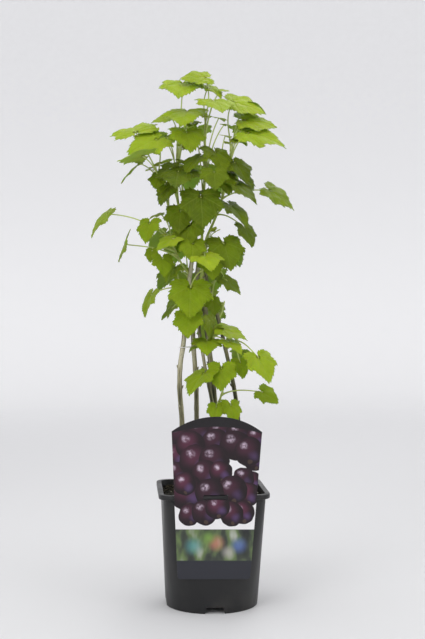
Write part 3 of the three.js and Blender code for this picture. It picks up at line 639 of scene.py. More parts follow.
def leaf_material():
    """Green with pale veins that are sunk on the top side and raised on the felted underside."""
    paint = Paint("leaf", Specular_IOR_Level=0.12, Subsurface_Weight=0.4, Subsurface_Scale=0.0016,
                  Subsurface_Radius=(0.55, 1.0, 0.08))
    place, flat, under = paint.place(), paint.flat(), paint.attribute("under")
    along, aside, _ = paint.node("SeparateXYZ", {"Vector": flat})
    main = paint.fade(aside, 0.018, 0.004)
    feather = paint.less(along, paint.times(aside, 0.9))
    branch = paint.fade(paint.calc("PINGPONG", feather, 0.055), 0.011, 0.002)
    cells = paint.node("TexVoronoi", {"Vector": flat, "Scale": 30.0}, feature="DISTANCE_TO_EDGE")["Distance"]
    net = paint.fade(cells, 0.09, 0.01)
    veins = paint.most(paint.most(main, paint.times(branch, 0.7)), paint.times(net, 0.22))
    green = paint.ramp(
        paint.toned((paint.noise(place, 60.0), 0.4)),
        (0.0, (0.072, 0.105, 0.004)), (0.3, (0.160, 0.222, 0.005)), (0.6, (0.260, 0.353, 0.009)),
        (0.82, (0.330, 0.425, 0.020)), (1.0, (0.450, 0.520, 0.020)))
    pale = paint.mix(0.5, green, (0.42, 0.50, 0.10))
    veined = paint.mix(paint.times(veins, 0.3), green, pale)
    felt = paint.mix(0.45, veined, (0.33, 0.42, 0.10))
    matt = paint.add(paint.noise(place, 35.0, 2.0), paint.times(under, 0.4))
    raised = paint.calc("MULTIPLY_ADD", under, 2.0, -1.0)
    grain = paint.times(paint.noise(place, 420.0), 0.7)
    return paint.finish(paint.mix(under, veined, felt), paint.fade(matt, 0.3, 1.0, 0.42, 0.72),
                        paint.calc("MULTIPLY_ADD", veins, raised, grain), 0.75, 0.001)


def stalk_material():
    paint = Paint("green_stalk", Specular_IOR_Level=0.4, Subsurface_Weight=0.3, Subsurface_Scale=0.0015,
                  Subsurface_Radius=(0.7, 1.0, 0.2))
    place = paint.place()
    colour = paint.ramp(
        paint.toned((paint.noise(place, 90.0), 0.5)),
        (0.0, (0.18, 0.12, 0.050)), (0.3, (0.25, 0.26, 0.06)), (0.6, (0.40, 0.48, 0.11)),
        (1.0, (0.56, 0.64, 0.22)))
    down = paint.noise(place, 1800.0, 2.0)
    return paint.finish(colour, paint.fade(down, 0.2, 0.8, 0.42, 0.68), down, 0.3, 0.0003)


def bark_material():
    """Streaked bark with dark pores that are longer than wide."""
    paint = Paint("bark", Specular_IOR_Level=0.3)
    flat = paint.flat()
    streak = paint.noise(paint.stretch(flat, (9.0, 0.22, 1.0)), 1.5, 5.0, 0.65)
    band = paint.noise(paint.stretch(flat, (2.6, 0.1, 1.0)), 1.0, 2.0)
    patch = paint.noise(paint.place(), 45.0, 4.0)
    lengthwise = paint.stretch(flat, (5.0, 1.3, 1.0))
    pore = paint.node("TexVoronoi", {"Vector": lengthwise, "Scale": 1.7})["Distance"]
    lenticel = paint.fade(pore, 0.2, 0.08)
    wood = paint.ramp(
        paint.toned((streak, 1.6), (band, 2.6), (patch, 0.4)),
        (0.0, (0.030, 0.032, 0.016)), (0.3, (0.085, 0.083, 0.046)), (0.55, (0.172, 0.163, 0.094)),
        (0.8, (0.310, 0.285, 0.165)), (1.0, (0.560, 0.530, 0.380)))
    colour = paint.mix(paint.times(lenticel, 0.7), wood, (0.055, 0.042, 0.026))
    height = paint.add(streak, paint.times(lenticel, 0.5))
    return paint.finish(colour, paint.fade(streak, 0.2, 0.8, 0.86, 0.58), height, 0.6, 0.0006)


def pot_material():
    """Black moulded plastic with flow marks, and dust that gathers near the foot."""
    paint = Paint("pot_plastic", Specular_IOR_Level=0.42)
    place = paint.place()
    grain = paint.noise(place, 700.0, 2.0)
    flow = paint.noise(paint.stretch(place, (60.0, 60.0, 2.0)), 1.0)
    _, _, height = paint.node("SeparateXYZ", {"Vector": place})
    low = paint.fade(height, 0.03, 0.0)
    cloud = paint.fade(paint.noise(place, 14.0, 4.0), 0.45, 0.75)
    dust = paint.times(cloud, paint.calc("MULTIPLY_ADD", low, 0.5, 0.22))
    colour = paint.mix(dust, (0.0090, 0.0090, 0.0097), (0.050, 0.047, 0.042))
    roughness = paint.add(paint.fade(flow, 0.25, 0.75, 0.33, 0.47), paint.times(dust, 0.3))
    return paint.finish(colour, roughness, paint.add(paint.times(grain, 0.35), flow), 0.16, 0.0004)


def compost_material():
    paint = Paint("compost", Specular_IOR_Level=0.2)
    place = paint.place()
    crumb = paint.noise(place, 260.0, 5.0, 0.7)
    fibre = paint.noise(paint.stretch(place, (1.0, 0.22, 1.0)), 700.0)
    earth = paint.ramp(
        paint.toned((crumb, 0.5)),
        (0.0, (0.008, 0.007, 0.004)), (0.35, (0.020, 0.017, 0.010)), (0.6, (0.050, 0.040, 0.022)),
        (0.85, (0.120, 0.098, 0.060)), (1.0, (0.360, 0.340, 0.280)))
    moss = paint.fade(paint.noise(place, 42.0), 0.56, 0.66)
    colour = paint.mix(paint.times(moss, 0.45), earth, (0.050, 0.075, 0.014))
    height = paint.add(crumb, paint.times(fibre, 0.6))
    return paint.finish(colour, paint.fade(fibre, 0.2, 0.8, 0.98, 0.78), height, 0.8, 0.0012)


def print_distance(paint, spot, x, height):
    return paint.vectors("DISTANCE", spot, (x / PRINT_UNIT, height / PRINT_UNIT, 0))["Value"]


def print_edge(paint, value, at):
    """Nothing below a printed edge and all above it."""
    return paint.fade(value, (at - PRINT_EDGE) / PRINT_UNIT, (at + PRINT_EDGE) / PRINT_UNIT)


def print_fruit(paint, spot, below, bloom, x, height, radius, ripe):
    """One round dark fruit with a lit side and a mottled shine, over the colour below it."""
    size = radius / PRINT_UNIT

    def mark(aside, up, outer, inner):
        away = print_distance(paint, spot, x + aside * radius, height + up * radius)
        return paint.fade(away, outer * size, inner * size)

    bright = (0.036 + 0.065 * ripe, 0.010 + 0.011 * ripe, 0.021 + 0.028 * ripe)
    skin = paint.mix(mark(-0.2, 0.25, 0.95, 0.1), (0.010, 0.003, 0.006), bright)
    skin = paint.mix(paint.times(mark(0.35, -0.3, 0.5, 0.0), 0.2 + 0.3 * ripe), skin, (0.15, 0.08, 0.24))
    skin = paint.mix(paint.times(mark(0.12, -0.72, 0.2, 0.1), 0.5), skin, (0.10, 0.06, 0.04))
    skin = paint.mix(paint.times(mark(-0.32, 0.4, 0.36, 0.04), bloom), skin, (0.66, 0.54, 0.66))
    return paint.mix(mark(0, 0, 1, 0.965), below, skin)


def garden_strip(paint, spot):
    """An out of focus strip of planting with soft spots of colour."""
    strip = paint.ramp(
        paint.noise(paint.stretch(spot, (1.0, 0.5, 1.0)), 6.0, 2.0, 0.4),
        (0.3, (0.018, 0.020, 0.022)), (0.45, (0.050, 0.062, 0.045)), (0.56, (0.13, 0.19, 0.07)),
        (0.7, (0.40, 0.42, 0.36)))
    for x, height, radius, colour in PRINT_SPOTS:
        glow = paint.fade(print_distance(paint, spot, x, height), 1.3 * radius / PRINT_UNIT, 0.0)
        strip = paint.mix(paint.times(glow, 0.8), strip, colour)
    return strip


def label_material():
    """Dark fruit on white, with a dark arch above, and a strip and a band below. The back is plain."""
    paint = Paint("label_print", Specular_IOR_Level=0.4)
    spot = paint.flat()
    _, height, _ = paint.node("SeparateXYZ", {"Vector": spot})
    fibre = paint.noise(spot, 60.0)
    printed = paint.ramp(fibre, (0.3, (0.80, 0.79, 0.80)), (0.7, (0.84, 0.83, 0.84)))
    bend = paint.node("TexNoise", {"Vector": spot, "Scale": 7.0, "Detail": 1.0})["Color"]
    bent = paint.vectors("MULTIPLY_ADD", bend, (0.05, 0.05, 0), spot)["Vector"]
    bent = paint.vectors("SUBTRACT", bent, (0.025, 0.025, 0))["Vector"]
    bloom = paint.fade(paint.noise(spot, 24.0, 2.0), 0.34, 0.66, 0.1, 0.85)
    for fruit in PRINT_FRUIT:
        printed = print_fruit(paint, bent, printed, bloom, *fruit)
    printed = paint.mix(print_edge(paint, height, STRIP_TOP), garden_strip(paint, spot), printed)
    printed = paint.mix(print_edge(paint, height, BAND_TOP), (0.024, 0.025, 0.034), printed)
    from_centre = print_distance(paint, spot, 0, ARCH_CENTRE)
    printed = paint.mix(print_edge(paint, from_centre, ARCH_RADIUS), printed, (0.008, 0.006, 0.008))
    back = paint.fade(height, 0.5 * BACK_SHIFT, 0.6 * BACK_SHIFT)
    colour = paint.mix(back, printed, (0.78, 0.78, 0.79))
    return paint.finish(colour, paint.fade(fibre, 0.3, 0.7, 0.3, 0.4), fibre, 0.05, 0.0003)


def string_material():
    paint = Paint("string", Specular_IOR_Level=0.25)
    fibre = paint.noise(paint.place(), 1500.0, 4.0)
    colour = paint.ramp(fibre, (0.25, (0.80, 0.79, 0.75)), (0.7, (0.94, 0.93, 0.91)))
    return paint.finish(colour, paint.fade(fibre, 0.2, 0.8, 0.95, 0.75), fibre, 0.6, 0.0003)


def paper_material():
    """Studio paper with painted shade, a little darker close to the pot, and painted light further out, where
    it glows.
    """
    paint = Paint("studio_paper", Specular_IOR_Level=0.1, Emission_Color=(1, 1, 1, 1))
    place = paint.place()
    tooth = paint.noise(place, 30.0)
    away = paint.vectors("LENGTH", place)["Value"]
    paper = paint.ramp(tooth, (0.3, (0.79, 0.79, 0.80)), (0.7, (0.81, 0.81, 0.82)))
    # Painted shade: the paper's colour darkens towards the pot
    colour = paint.mix(paint.fade(away, 3.2, 0.4), paper, (0.74, 0.74, 0.745))
    # Painted light: the paper glows from about a metre out, most strongly about 4.2 m away, though it is no
    # lamp
    glow = paint.less(paint.fade(away, 1.0, 4.2, 0.0, 0.28), paint.fade(away, 4.2, 5.9, 0.0, 0.1))
    paint.tree.links.new(glow, paint.surface["Emission Strength"])
    return paint.finish(colour, paint.fade(tooth, 0.0, 1.0, 0.8, 0.95), tooth, 0.02, 0.001)


# Leaves and shoots

def vein_angles(spot):
    """The angle of each point from each main vein, in degrees."""
    heading = np.degrees(np.arctan2(spot[..., 0], spot[..., 1]))
    return np.abs(heading[..., None] - np.array(MAIN_VEINS))


def vein_place(spot, vein):
    """How far along a main vein, and how far aside of it, each point lies."""
    turn = np.radians(np.array(MAIN_VEINS)[vein])
    along = spot[..., 0] * np.sin(turn) + spot[..., 1] * np.cos(turn)
    aside = np.abs(spot[..., 0] * np.cos(turn) - spot[..., 1] * np.sin(turn))
    return along, aside


def blade_outline():
    """The half blade's edge from the foot to just short of the tip, its direction and its outward side."""
    corners = np.array([(0, 0), *BLADE_HALF, BLADE_TIP])
    run = run_along(corners)
    share = np.linspace(EDGE_START, 1, HALF_SAMPLES, endpoint=False)
    smooth = Route(corners).at(share)
    sharp = np.stack([np.interp(share, run / run[-1], axis) for axis in corners.T], axis=-1)
    edge = EDGE_SMOOTHNESS * smooth + (1 - EDGE_SMOOTHNESS) * sharp
    nearest = vein_angles(edge).min(axis=1)
    edge = edge * (1 + LOBE_REACH * np.cos(np.radians(nearest * LOBE_RATE)))[:, None]
    ahead = unit(np.gradient(edge, axis=0))
    return edge, ahead, ahead[:, ::-1] * (1, -1)


def blade_teeth(ahead, outward, phase):
    """How far each edge point stands out: saw teeth, every second one larger, that lean towards the tip."""
    number = np.arange(HALF_SAMPLES) + phase
    rise = (number % SAMPLES_PER_TOOTH) / (SAMPLES_PER_TOOTH - 1)
    size = np.where((number // SAMPLES_PER_TOOTH) % 2 == 0, 1.0, SMALL_TOOTH) * TOOTH_DEPTH
    return (rise * size)[:, None] * (outward + TOOTH_LEAN * ahead)


class BladePattern:
    """A flat toothed blade as a fan of spokes from its foot, with a top and an underside."""

    def __init__(self, phase):
        edge, ahead, outward = blade_outline()
        mirror = np.array([-1, 1])
        right = blade_teeth(ahead, outward, phase)
        left = blade_teeth(ahead, outward, phase + SAMPLES_PER_TOOTH // 2) * mirror
        base = np.concatenate([edge, [BLADE_TIP], edge[::-1] * mirror])
        teeth = np.concatenate([right, [(0, TOOTH_DEPTH)], left[::-1]])
        rings = np.array(BLADE_RINGS)
        spokes = rings[:, None, None] * base + (rings ** TOOTH_FADE)[:, None, None] * teeth
        self.flat = np.concatenate([[(0, 0)], spokes.reshape(-1, 2)])
        columns, count = len(base), len(self.flat)
        quads = grid_faces(len(rings), columns) + 1
        spread = np.arange(1, columns)
        fan = np.stack([np.zeros_like(spread), spread, spread + 1], axis=-1)
        rows = 1 + np.arange(len(rings)) * columns
        outer = rows[-1] + np.arange(columns)
        loop = np.concatenate([[0], rows[:-1], outer, rows[:-1][::-1] + columns - 1])
        after = np.roll(loop, -1)
        rim = np.stack([after, loop, loop + count, after + count], axis=-1)
        self.faces = [quads, fan, quads[:, ::-1] + count, fan[:, ::-1] + count, rim]
        self.maps = [self.face_map(faces % count) for faces in self.faces]
        self.along, self.aside = vein_place(self.flat, vein_angles(self.flat).argmin(axis=-1))
        self.from_foot = np.linalg.norm(self.flat, axis=1)

    def face_map(self, faces):
        """Each corner's place along and aside of the main vein nearest to its face."""
        spot = self.flat[faces]
        vein = vein_angles(spot.mean(axis=1)).argmin(axis=-1)
        return np.stack(vein_place(spot, vein[:, None]), axis=-1)


def leaf_axes(heading, droop, roll):
    """A blade's directions across, along and out of its top side."""
    heading, droop, roll = (math.radians(v) for v in (heading, droop, roll))
    level = np.array([math.cos(heading), math.sin(heading), 0])
    along = level * math.cos(droop) - UP * math.sin(droop)
    up = unit(UP - along * along[2])
    out = up * math.cos(roll) + np.cross(along, up) * math.sin(roll)
    return np.cross(along, out), along, out


def add_blade(parts, pattern, foot, axes, width, tone):
    """One blade: arched and folded, with sunken main veins, a cockled face and a waved edge."""
    across, along, out = axes
    a, b = pattern.flat.T
    wave, shift = draw.uniform(*WAVE_RATES), draw.uniform(0, FULL_TURN)
    lean = draw.uniform(-BLADE_LEAN, BLADE_LEAN)
    lift = BLADE_FOLD * np.abs(a) - BLADE_ARCH * (a * a + b * b) + lean * a
    lift -= VEIN_GROOVE * np.exp(-(pattern.aside / VEIN_HALF_WIDTH) ** 2)
    lift += QUILT_SLOPE * np.minimum(pattern.aside, QUILT_REACH)
    lift += EDGE_WAVE * pattern.from_foot ** 2 * np.sin(wave * np.arctan2(a, b) + shift)
    cockle = np.sin(COCKLE_RATES[0] * a + shift) * np.sin(COCKLE_RATES[1] * b + wave)
    lift += COCKLE_HEIGHT * cockle * np.clip(COCKLE_START * pattern.from_foot, 0, 1)
    middle = foot + width * (a[:, None] * across + b[:, None] * along + lift[:, None] * out)
    rib = RIB_HEIGHT * np.exp(-(pattern.aside * width / RIB_HALF_WIDTH) ** 2)
    rib *= np.clip(RIB_END - pattern.along, 0, 1)
    half = BLADE_THICKNESS / 2
    shell = np.concatenate([middle + half * out, middle - (half + rib[:, None]) * out])
    parts.add(shell, pattern.faces, pattern.maps, LEAF_FINISH, tone, np.repeat([0.0, 1.0], len(a)))


def add_leaf(parts, pattern, start, foot, axes, width, tone, slimness=1.0):
    """A blade on its stalk, which widens where it clasps the shoot and holds a small bud."""
    along = axes[1]
    reach = foot - start
    length = np.linalg.norm(reach)
    leaving = unit(reach / length + STALK_BEND * UP)
    arriving = unit(reach / length + STALK_BEND * along)
    path = bezier(STALK_STEPS, start, start + STALK_HANDLE * length * leaving,
                  foot - STALK_HANDLE * length * arriving, foot + STALK_SINK * width * along)
    share = np.linspace(0, 1, STALK_STEPS)
    radii = slimness * (taper(STALK_RADIUS, share) + CLASP_WIDTH * np.exp(-CLASP_FADE * share))
    tint = STALK_TONE - STALK_FOOT_SHADE * np.exp(-STALK_SHADE_FADE * share) + STALK_TONE_SHARE * (tone - 0.5)
    add_tube(parts, path, radii, STALK_SIDES, STALK_FINISH, np.clip(tint, 0, 1))
    add_blade(parts, pattern, foot, axes, width, tone)
    if length > NOOK_BUD_SHORTEST_STALK:
        bud_length, bud_width, bud_tone = NOOK_BUD
        nook = start + NOOK_ALONG * leaving + NOOK_ABOVE * UP
        add_bud(parts, nook, leaving + NOOK_RISE * UP, bud_length * slimness, bud_width * slimness,
                STALK_FINISH, bud_tone)


def add_tip(parts, patterns, route, count):
    """The growing point: a bud and a few small young leaves."""
    top = route.at(1.0)
    ahead = unit(top - route.at(0.95))
    bud_length, bud_width, bud_tone = TIP_BUD
    add_bud(parts, top - ahead, ahead, bud_length, bud_width, STALK_FINISH, bud_tone)
    for i in range(count):
        heading = draw.uniform(0, 360) if i else YOUNG_FIRST_HEADING
        width = draw.uniform(*YOUNG_WIDTH)
        side = np.array([math.cos(math.radians(heading)), math.sin(math.radians(heading)), 0])
        foot = top + ahead * draw.uniform(*YOUNG_LIFT) + side * draw.uniform(*YOUNG_REACH)
        axes = leaf_axes(heading, draw.uniform(*YOUNG_DROOP), draw.uniform(*YOUNG_ROLL))
        start = top - ahead * (1 + YOUNG_SPACING * i)
        add_leaf(parts, draw.choice(patterns), start, foot, axes, width, YOUNG_TONE, YOUNG_SLIMNESS)


def make_shoot(name, shoot, patterns, materials):
    """A green shoot with a knot at each leaf, its leaves and its growing point."""
    radius, points, young, leaves = shoot
    parts = MeshParts()
    route = Route(points)
    share = np.linspace(0, 1, SHOOT_RINGS)
    knots = sum(np.exp(-((share - leaf[0]) / KNOT_HALF_LENGTH) ** 2) for leaf in leaves)
    radii = taper(radius, share) + KNOT_HEIGHT * np.minimum(knots, 1)
    add_tube(parts, route.at(share), radii, SHOOT_SIDES, STALK_FINISH, taper(SHOOT_TONES, share))
    for at, x, y, z, heading, droop, roll, width, tone in leaves:
        pattern = draw.choice(patterns)
        shade = np.clip(tone + draw.uniform(-TONE_SPREAD, TONE_SPREAD), 0, 1)
        axes = leaf_axes(heading, droop, roll)
        add_leaf(parts, pattern, route.at(at), np.array([x, y, z], float), axes, width, shade)
    add_tip(parts, patterns, route, young)
    return parts.make(name + "_leaves", materials)


def make_cane(name, cane, materials):
    """A woody cane with lengthwise ridges, a swelling at each node and a bud above it."""
    tone, radius, points = cane
    parts = MeshParts()
    share = np.linspace(0, 1, CANE_RINGS)
    path = Route(points).at(share)
    plain = taper(radius, share)
    swelling = CANE_SWELLING * np.cos(2 * np.pi * CANE_BUDS * share) ** CANE_BUD_SHARPNESS
    seed = draw.uniform(*RIDGE_STARTS)

    def ridge(turn, height):
        around, up = RIDGE_RATES
        coarse = Vector((around * math.cos(turn) + seed, around * math.sin(turn), up * height))
        around, up = FINE_RIDGE_RATES
        fine = Vector((around * math.cos(turn), around * math.sin(turn) + seed, up * height))
        return noise.noise(coarse) + FINE_RIDGE_SHARE * noise.noise(fine)

    ridges = np.array([[ridge(turn, height) for turn in circle(CANE_SIDES)] for height in share])
    add_tube(parts, path, plain * (1 + swelling), CANE_SIDES, 0, tone, RIDGE_DEPTH * ridges)
    across, over = carried_frames(path)
    for node in range(1, 2 * CANE_BUDS):
        ring = round(node * (CANE_RINGS - 1) / (2 * CANE_BUDS))
        if path[ring][2] < SOIL_LEVEL + CANE_BUD_CLEARANCE:
            continue
        turn = node * CANE_BUD_TURN + seed
        side = math.cos(turn) * across[ring] + math.sin(turn) * over[ring]
        ahead = unit(path[ring + 1] - path[ring - 1])
        foot = path[ring] + CANE_BUD_SEAT * plain[ring] * side
        add_bud(parts, foot, ahead + CANE_BUD_LEAN * side, CANE_BUD_LENGTH, CANE_BUD_WIDTH, 0,
                max(tone - CANE_BUD_SHADE, DARKEST_BUD))
    return parts.make(name + "_bark", materials)


# Pot, compost, label and string

def square_ring(half_width, corner_radius, z, steps):
    """A square with rounded corners at height z, with points along its sides too."""
    corner_steps, side_steps = steps
    corner = min(corner_radius, half_width)
    flat = half_width - corner
    ring = []
    for quarter in range(4):
        middle = math.pi / 4 + quarter * math.pi / 2
        x = math.copysign(flat, math.cos(middle))
        y = math.copysign(flat, math.sin(middle))
        for i in range(corner_steps + 1):
            turn = middle + math.pi / 2 * (i / corner_steps - 0.5)
            ring.append(np.array([x + corner * math.cos(turn), y + corner * math.sin(turn), z]))
        last = ring[-1]
        ahead = np.array([-math.sin(middle + math.pi / 4), math.cos(middle + math.pi / 4), 0])
        ring += [last + ahead * 2 * flat * i / side_steps for i in range(1, side_steps)]
    return np.array(ring)


def wall_ring(z, inset, steps=POT_STEPS):
    share = z / (POT_HEIGHT - LIP_HEIGHT)
    half_width = taper((FOOT_HALF_WIDTH, NECK_HALF_WIDTH), share)
    corner = taper((FOOT_HALF_WIDTH, RIM_CORNER_RADIUS), share)
    return square_ring(half_width - inset, corner - inset, z, steps)


def lip_ring(z, inset):
    corner = RIM_CORNER_RADIUS + LIP_HALF_WIDTH - NECK_HALF_WIDTH
    return square_ring(LIP_HALF_WIDTH - inset, corner - inset, z, POT_STEPS)


def foot_ring(radius, z):
    return square_ring(radius, radius, z, POT_STEPS)


def carve(piece, cutter, sharp_angle):
    """Cuts one closed mesh out of another and keeps the result as a plain mesh."""
    cut = piece.modifiers.new("cut", "BOOLEAN")
    cut.operation, cut.solver, cut.object = "DIFFERENCE", "EXACT", cutter
    settled = bpy.data.meshes.new_from_object(piece.evaluated_get(bpy.context.evaluated_depsgraph_get()))
    piece.modifiers.clear()
    piece.data = settled
    bpy.data.objects.remove(cutter)
    settled.set_sharp_from_angle(angle=math.radians(sharp_angle))


def add_notch(parts, turn):
    """The cutter of one drainage notch in the foot, narrower at its top."""
    ahead = np.array([math.cos(turn), math.sin(turn), 0])
    aside = np.array([-math.sin(turn), math.cos(turn), 0])
    near, far = NOTCH_START * ahead, (NOTCH_START + NOTCH_DEPTH) * ahead
    slope = (NOTCH_TOP_WIDTH - NOTCH_BOTTOM_WIDTH) / NOTCH_HEIGHT
    rings = []
    for z in (-OVERRUN, NOTCH_HEIGHT):
        half = (NOTCH_BOTTOM_WIDTH + slope * z) / 2 * aside
        rings.append(np.array([near - half, far - half, far + half, near + half]) + z * UP)
    add_loft(parts, rings)


def make_pot(material):
    """A thin shell on a round foot, from the middle of its underside over the lip to its floor."""
    neck = POT_HEIGHT - LIP_HEIGHT
    below, floor = FLOOR_UNDERSIDE, FLOOR_UNDERSIDE + FLOOR_THICKNESS
    inner_foot = CENTRE_FOOT_RADIUS - POT_WALL
    rings = [foot_ring(CENTRE_FOOT_RADIUS - FOOT_BEVEL, 0), foot_ring(CENTRE_FOOT_RADIUS, FOOT_BEVEL),
             foot_ring(CENTRE_FOOT_RADIUS, below), wall_ring(below, POT_WALL),
             wall_ring(INSIDE_BEVEL, POT_WALL), wall_ring(0, POT_WALL - INSIDE_BEVEL),
             wall_ring(0, FOOT_BEVEL), wall_ring(FOOT_BEVEL, 0)]
    rings += [wall_ring(z, 0) for z in np.linspace(FOOT_MARGIN, neck - NECK_MARGIN, OUTSIDE_RINGS)]
    rings += [lip_ring(neck + up, inset) for up, inset in LIP_SECTION]
    rings += [wall_ring(POT_HEIGHT, POT_WALL - RIM_BEVEL), wall_ring(POT_HEIGHT - RIM_BEVEL, POT_WALL)]
    inside = np.linspace(POT_HEIGHT - RIM_MARGIN, floor + FLOOR_MARGIN, INSIDE_RINGS)
    rings += [wall_ring(z, POT_WALL) for z in inside]
    rings += [wall_ring(floor, POT_WALL + FLOOR_CORNER), foot_ring(inner_foot, floor),
              foot_ring(inner_foot, FLOOR_THICKNESS)]
    shell = MeshParts()
    add_loft(shell, rings)
    pot = shell.make("pot_shell", [material])
    cutters = MeshParts()
    for turn in circle(NOTCH_COUNT):
        add_notch(cutters, turn)
    for turn in circle(DRAIN_COUNT) + math.pi / DRAIN_COUNT:
        centre = DRAIN_CIRCLE * np.array([math.cos(turn), math.sin(turn), 0])
        add_loft(cutters, [centre + square_ring(DRAIN_RADIUS, DRAIN_RADIUS, z, DRAIN_STEPS)
                           for z in (below - OVERRUN, floor + OVERRUN)])
    carve(pot, cutters.make("pot_cutter", [material]), POT_SHARP_ANGLE)
    return pot


def soil_height(x, y, share):
    lump = SOIL_LUMP * np.sin(x / SOIL_LUMP_SPACING[0] + 1) * np.cos(y / SOIL_LUMP_SPACING[1])
    return SOIL_LEVEL + SOIL_CROWN * (1 - share) + lump


def add_crumb(parts, at, size, stretch, tone):
    """A small lump with a rough surface: a few rings of points pushed in and out."""
    turn = circle(CRUMB_SIDES)
    rings = []
    for lift, wide in CRUMB_RINGS:
        rough = wide * np.array([draw.uniform(*CRUMB_ROUGHNESS) for _ in turn])
        height = np.full(CRUMB_SIDES, lift * draw.uniform(*CRUMB_FLATNESS))
        rings.append(np.stack([np.cos(turn) * rough * stretch, np.sin(turn) * rough, height], axis=-1))
    spin, tilt = draw.uniform(0, FULL_TURN), draw.uniform(-CRUMB_TILT, CRUMB_TILT)
    turned = np.array([[math.cos(spin), -math.sin(spin), 0], [math.sin(spin), math.cos(spin), 0], [0, 0, 1]])
    tipped = np.array([[math.cos(tilt), 0, -math.sin(tilt)], [0, 1, 0], [math.sin(tilt), 0, math.cos(tilt)]])
    add_loft(parts, [at + size * (ring @ tipped.T @ turned.T) for ring in rings], tone)


def make_compost(material):
    """A lumpy surface with crumbs and bark chips lying on it."""
    parts = MeshParts()
    rim = wall_ring(SOIL_LEVEL, SOIL_INSET, SOIL_STEPS)
    bottom = FLOOR_UNDERSIDE + FLOOR_THICKNESS + SOIL_FLOOR_GAP
    rings = [wall_ring(bottom, SOIL_FOOT_INSET, SOIL_STEPS)]
    rings += [wall_ring(z, SOIL_INSET, SOIL_STEPS) for z in SOIL_BODY_HEIGHTS]
    for share in np.linspace(1, SOIL_LAST_RING, SOIL_RINGS):
        ring = rim * share
        drop = SOIL_EDGE_DROP * share ** SOIL_EDGE_SHARPNESS
        ring[:, 2] = soil_height(ring[:, 0], ring[:, 1], share) - drop
        for point in ring:
            spot = Vector(point / SOIL_GRAIN)
            point[2] += SOIL_GRAIN_HEIGHT * noise.fractal(spot, *SOIL_FRACTAL)
            point[2] += FINE_GRAIN_HEIGHT * noise.noise(spot * FINE_GRAIN_RATE)
        rings.append(ring)
    add_loft(parts, rings, SOIL_TONE)
    for i in range(CRUMB_COUNT + CHIP_COUNT):
        chip = i >= CRUMB_COUNT
        share = math.sqrt(draw.uniform(0, CRUMB_SPREAD))
        x, y, _ = draw.choice(rim) * share
        size = draw.uniform(*(CHIP_SIZE if chip else CRUMB_SIZE))
        stretch = draw.uniform(*(CHIP_STRETCH if chip else CRUMB_STRETCH))
        tone = draw.uniform(*CHIP_TONE) if chip else draw.choice(CRUMB_TONES)
        lift = soil_height(x, y, share) + draw.uniform(*CRUMB_LIFT)
        add_crumb(parts, np.array([x, y, lift]), size, stretch, tone)
    return parts.make("compost", [material])


def label_outline():
    """The plate's flat outline, anticlockwise from the lower right corner."""
    bottom, shoulder = LABEL_BOTTOM_HALF_WIDTH, LABEL_SHOULDER_HALF_WIDTH
    slope = (shoulder - bottom) / (LABEL_SHOULDER - LABEL_BOTTOM)
    start = np.array([bottom - LABEL_CORNER, LABEL_BOTTOM])
    bend = np.array([bottom, LABEL_BOTTOM])
    end = np.array([bottom + slope * LABEL_CORNER, LABEL_BOTTOM + LABEL_CORNER])
    top = np.array([shoulder, LABEL_SHOULDER])
    t = np.linspace(0, 1, LABEL_CORNER_STEPS)[:, None]
    corner = (1 - t) ** 2 * start + 2 * t * (1 - t) * bend + t * t * end
    side = end + (top - end) * np.linspace(0, 1, LABEL_SIDE_STEPS)[1:-1, None]
    sagitta = LABEL_TOP - LABEL_SHOULDER
    radius = (shoulder ** 2 + sagitta ** 2) / (2 * sagitta)
    turn = math.asin(shoulder / radius) * np.linspace(1, 0, LABEL_ARCH_STEPS)
    arch = np.stack([radius * np.sin(turn), LABEL_TOP - radius + radius * np.cos(turn)], axis=-1)
    right = np.concatenate([corner, side, arch])
    return np.concatenate([right, right[:-1][::-1] * (-1, 1)])


def label_place(points):
    """Turns flat plate points (x, depth, height) to where the plate leans on the lip."""
    middle = POT_HEIGHT - LIP_HEIGHT / 2
    lean, turn = math.radians(LABEL_LEAN), math.radians(LABEL_TURN)
    x, y, z = points[:, 0], points[:, 1], points[:, 2] - middle
    y, z = y * math.cos(lean) - z * math.sin(lean), y * math.sin(lean) + z * math.cos(lean)
    x, z = x * math.cos(turn) + z * math.sin(turn), z * math.cos(turn) - x * math.sin(turn)
    return np.stack([x, y - LIP_HALF_WIDTH - LABEL_GAP, z + middle], axis=-1)


def rectangle(half_width, first, second):
    """A ring of four points between two places (y, z) on either side of the middle."""
    return np.array([(-half_width, *first), (half_width, *first),
                     (half_width, *second), (-half_width, *second)])


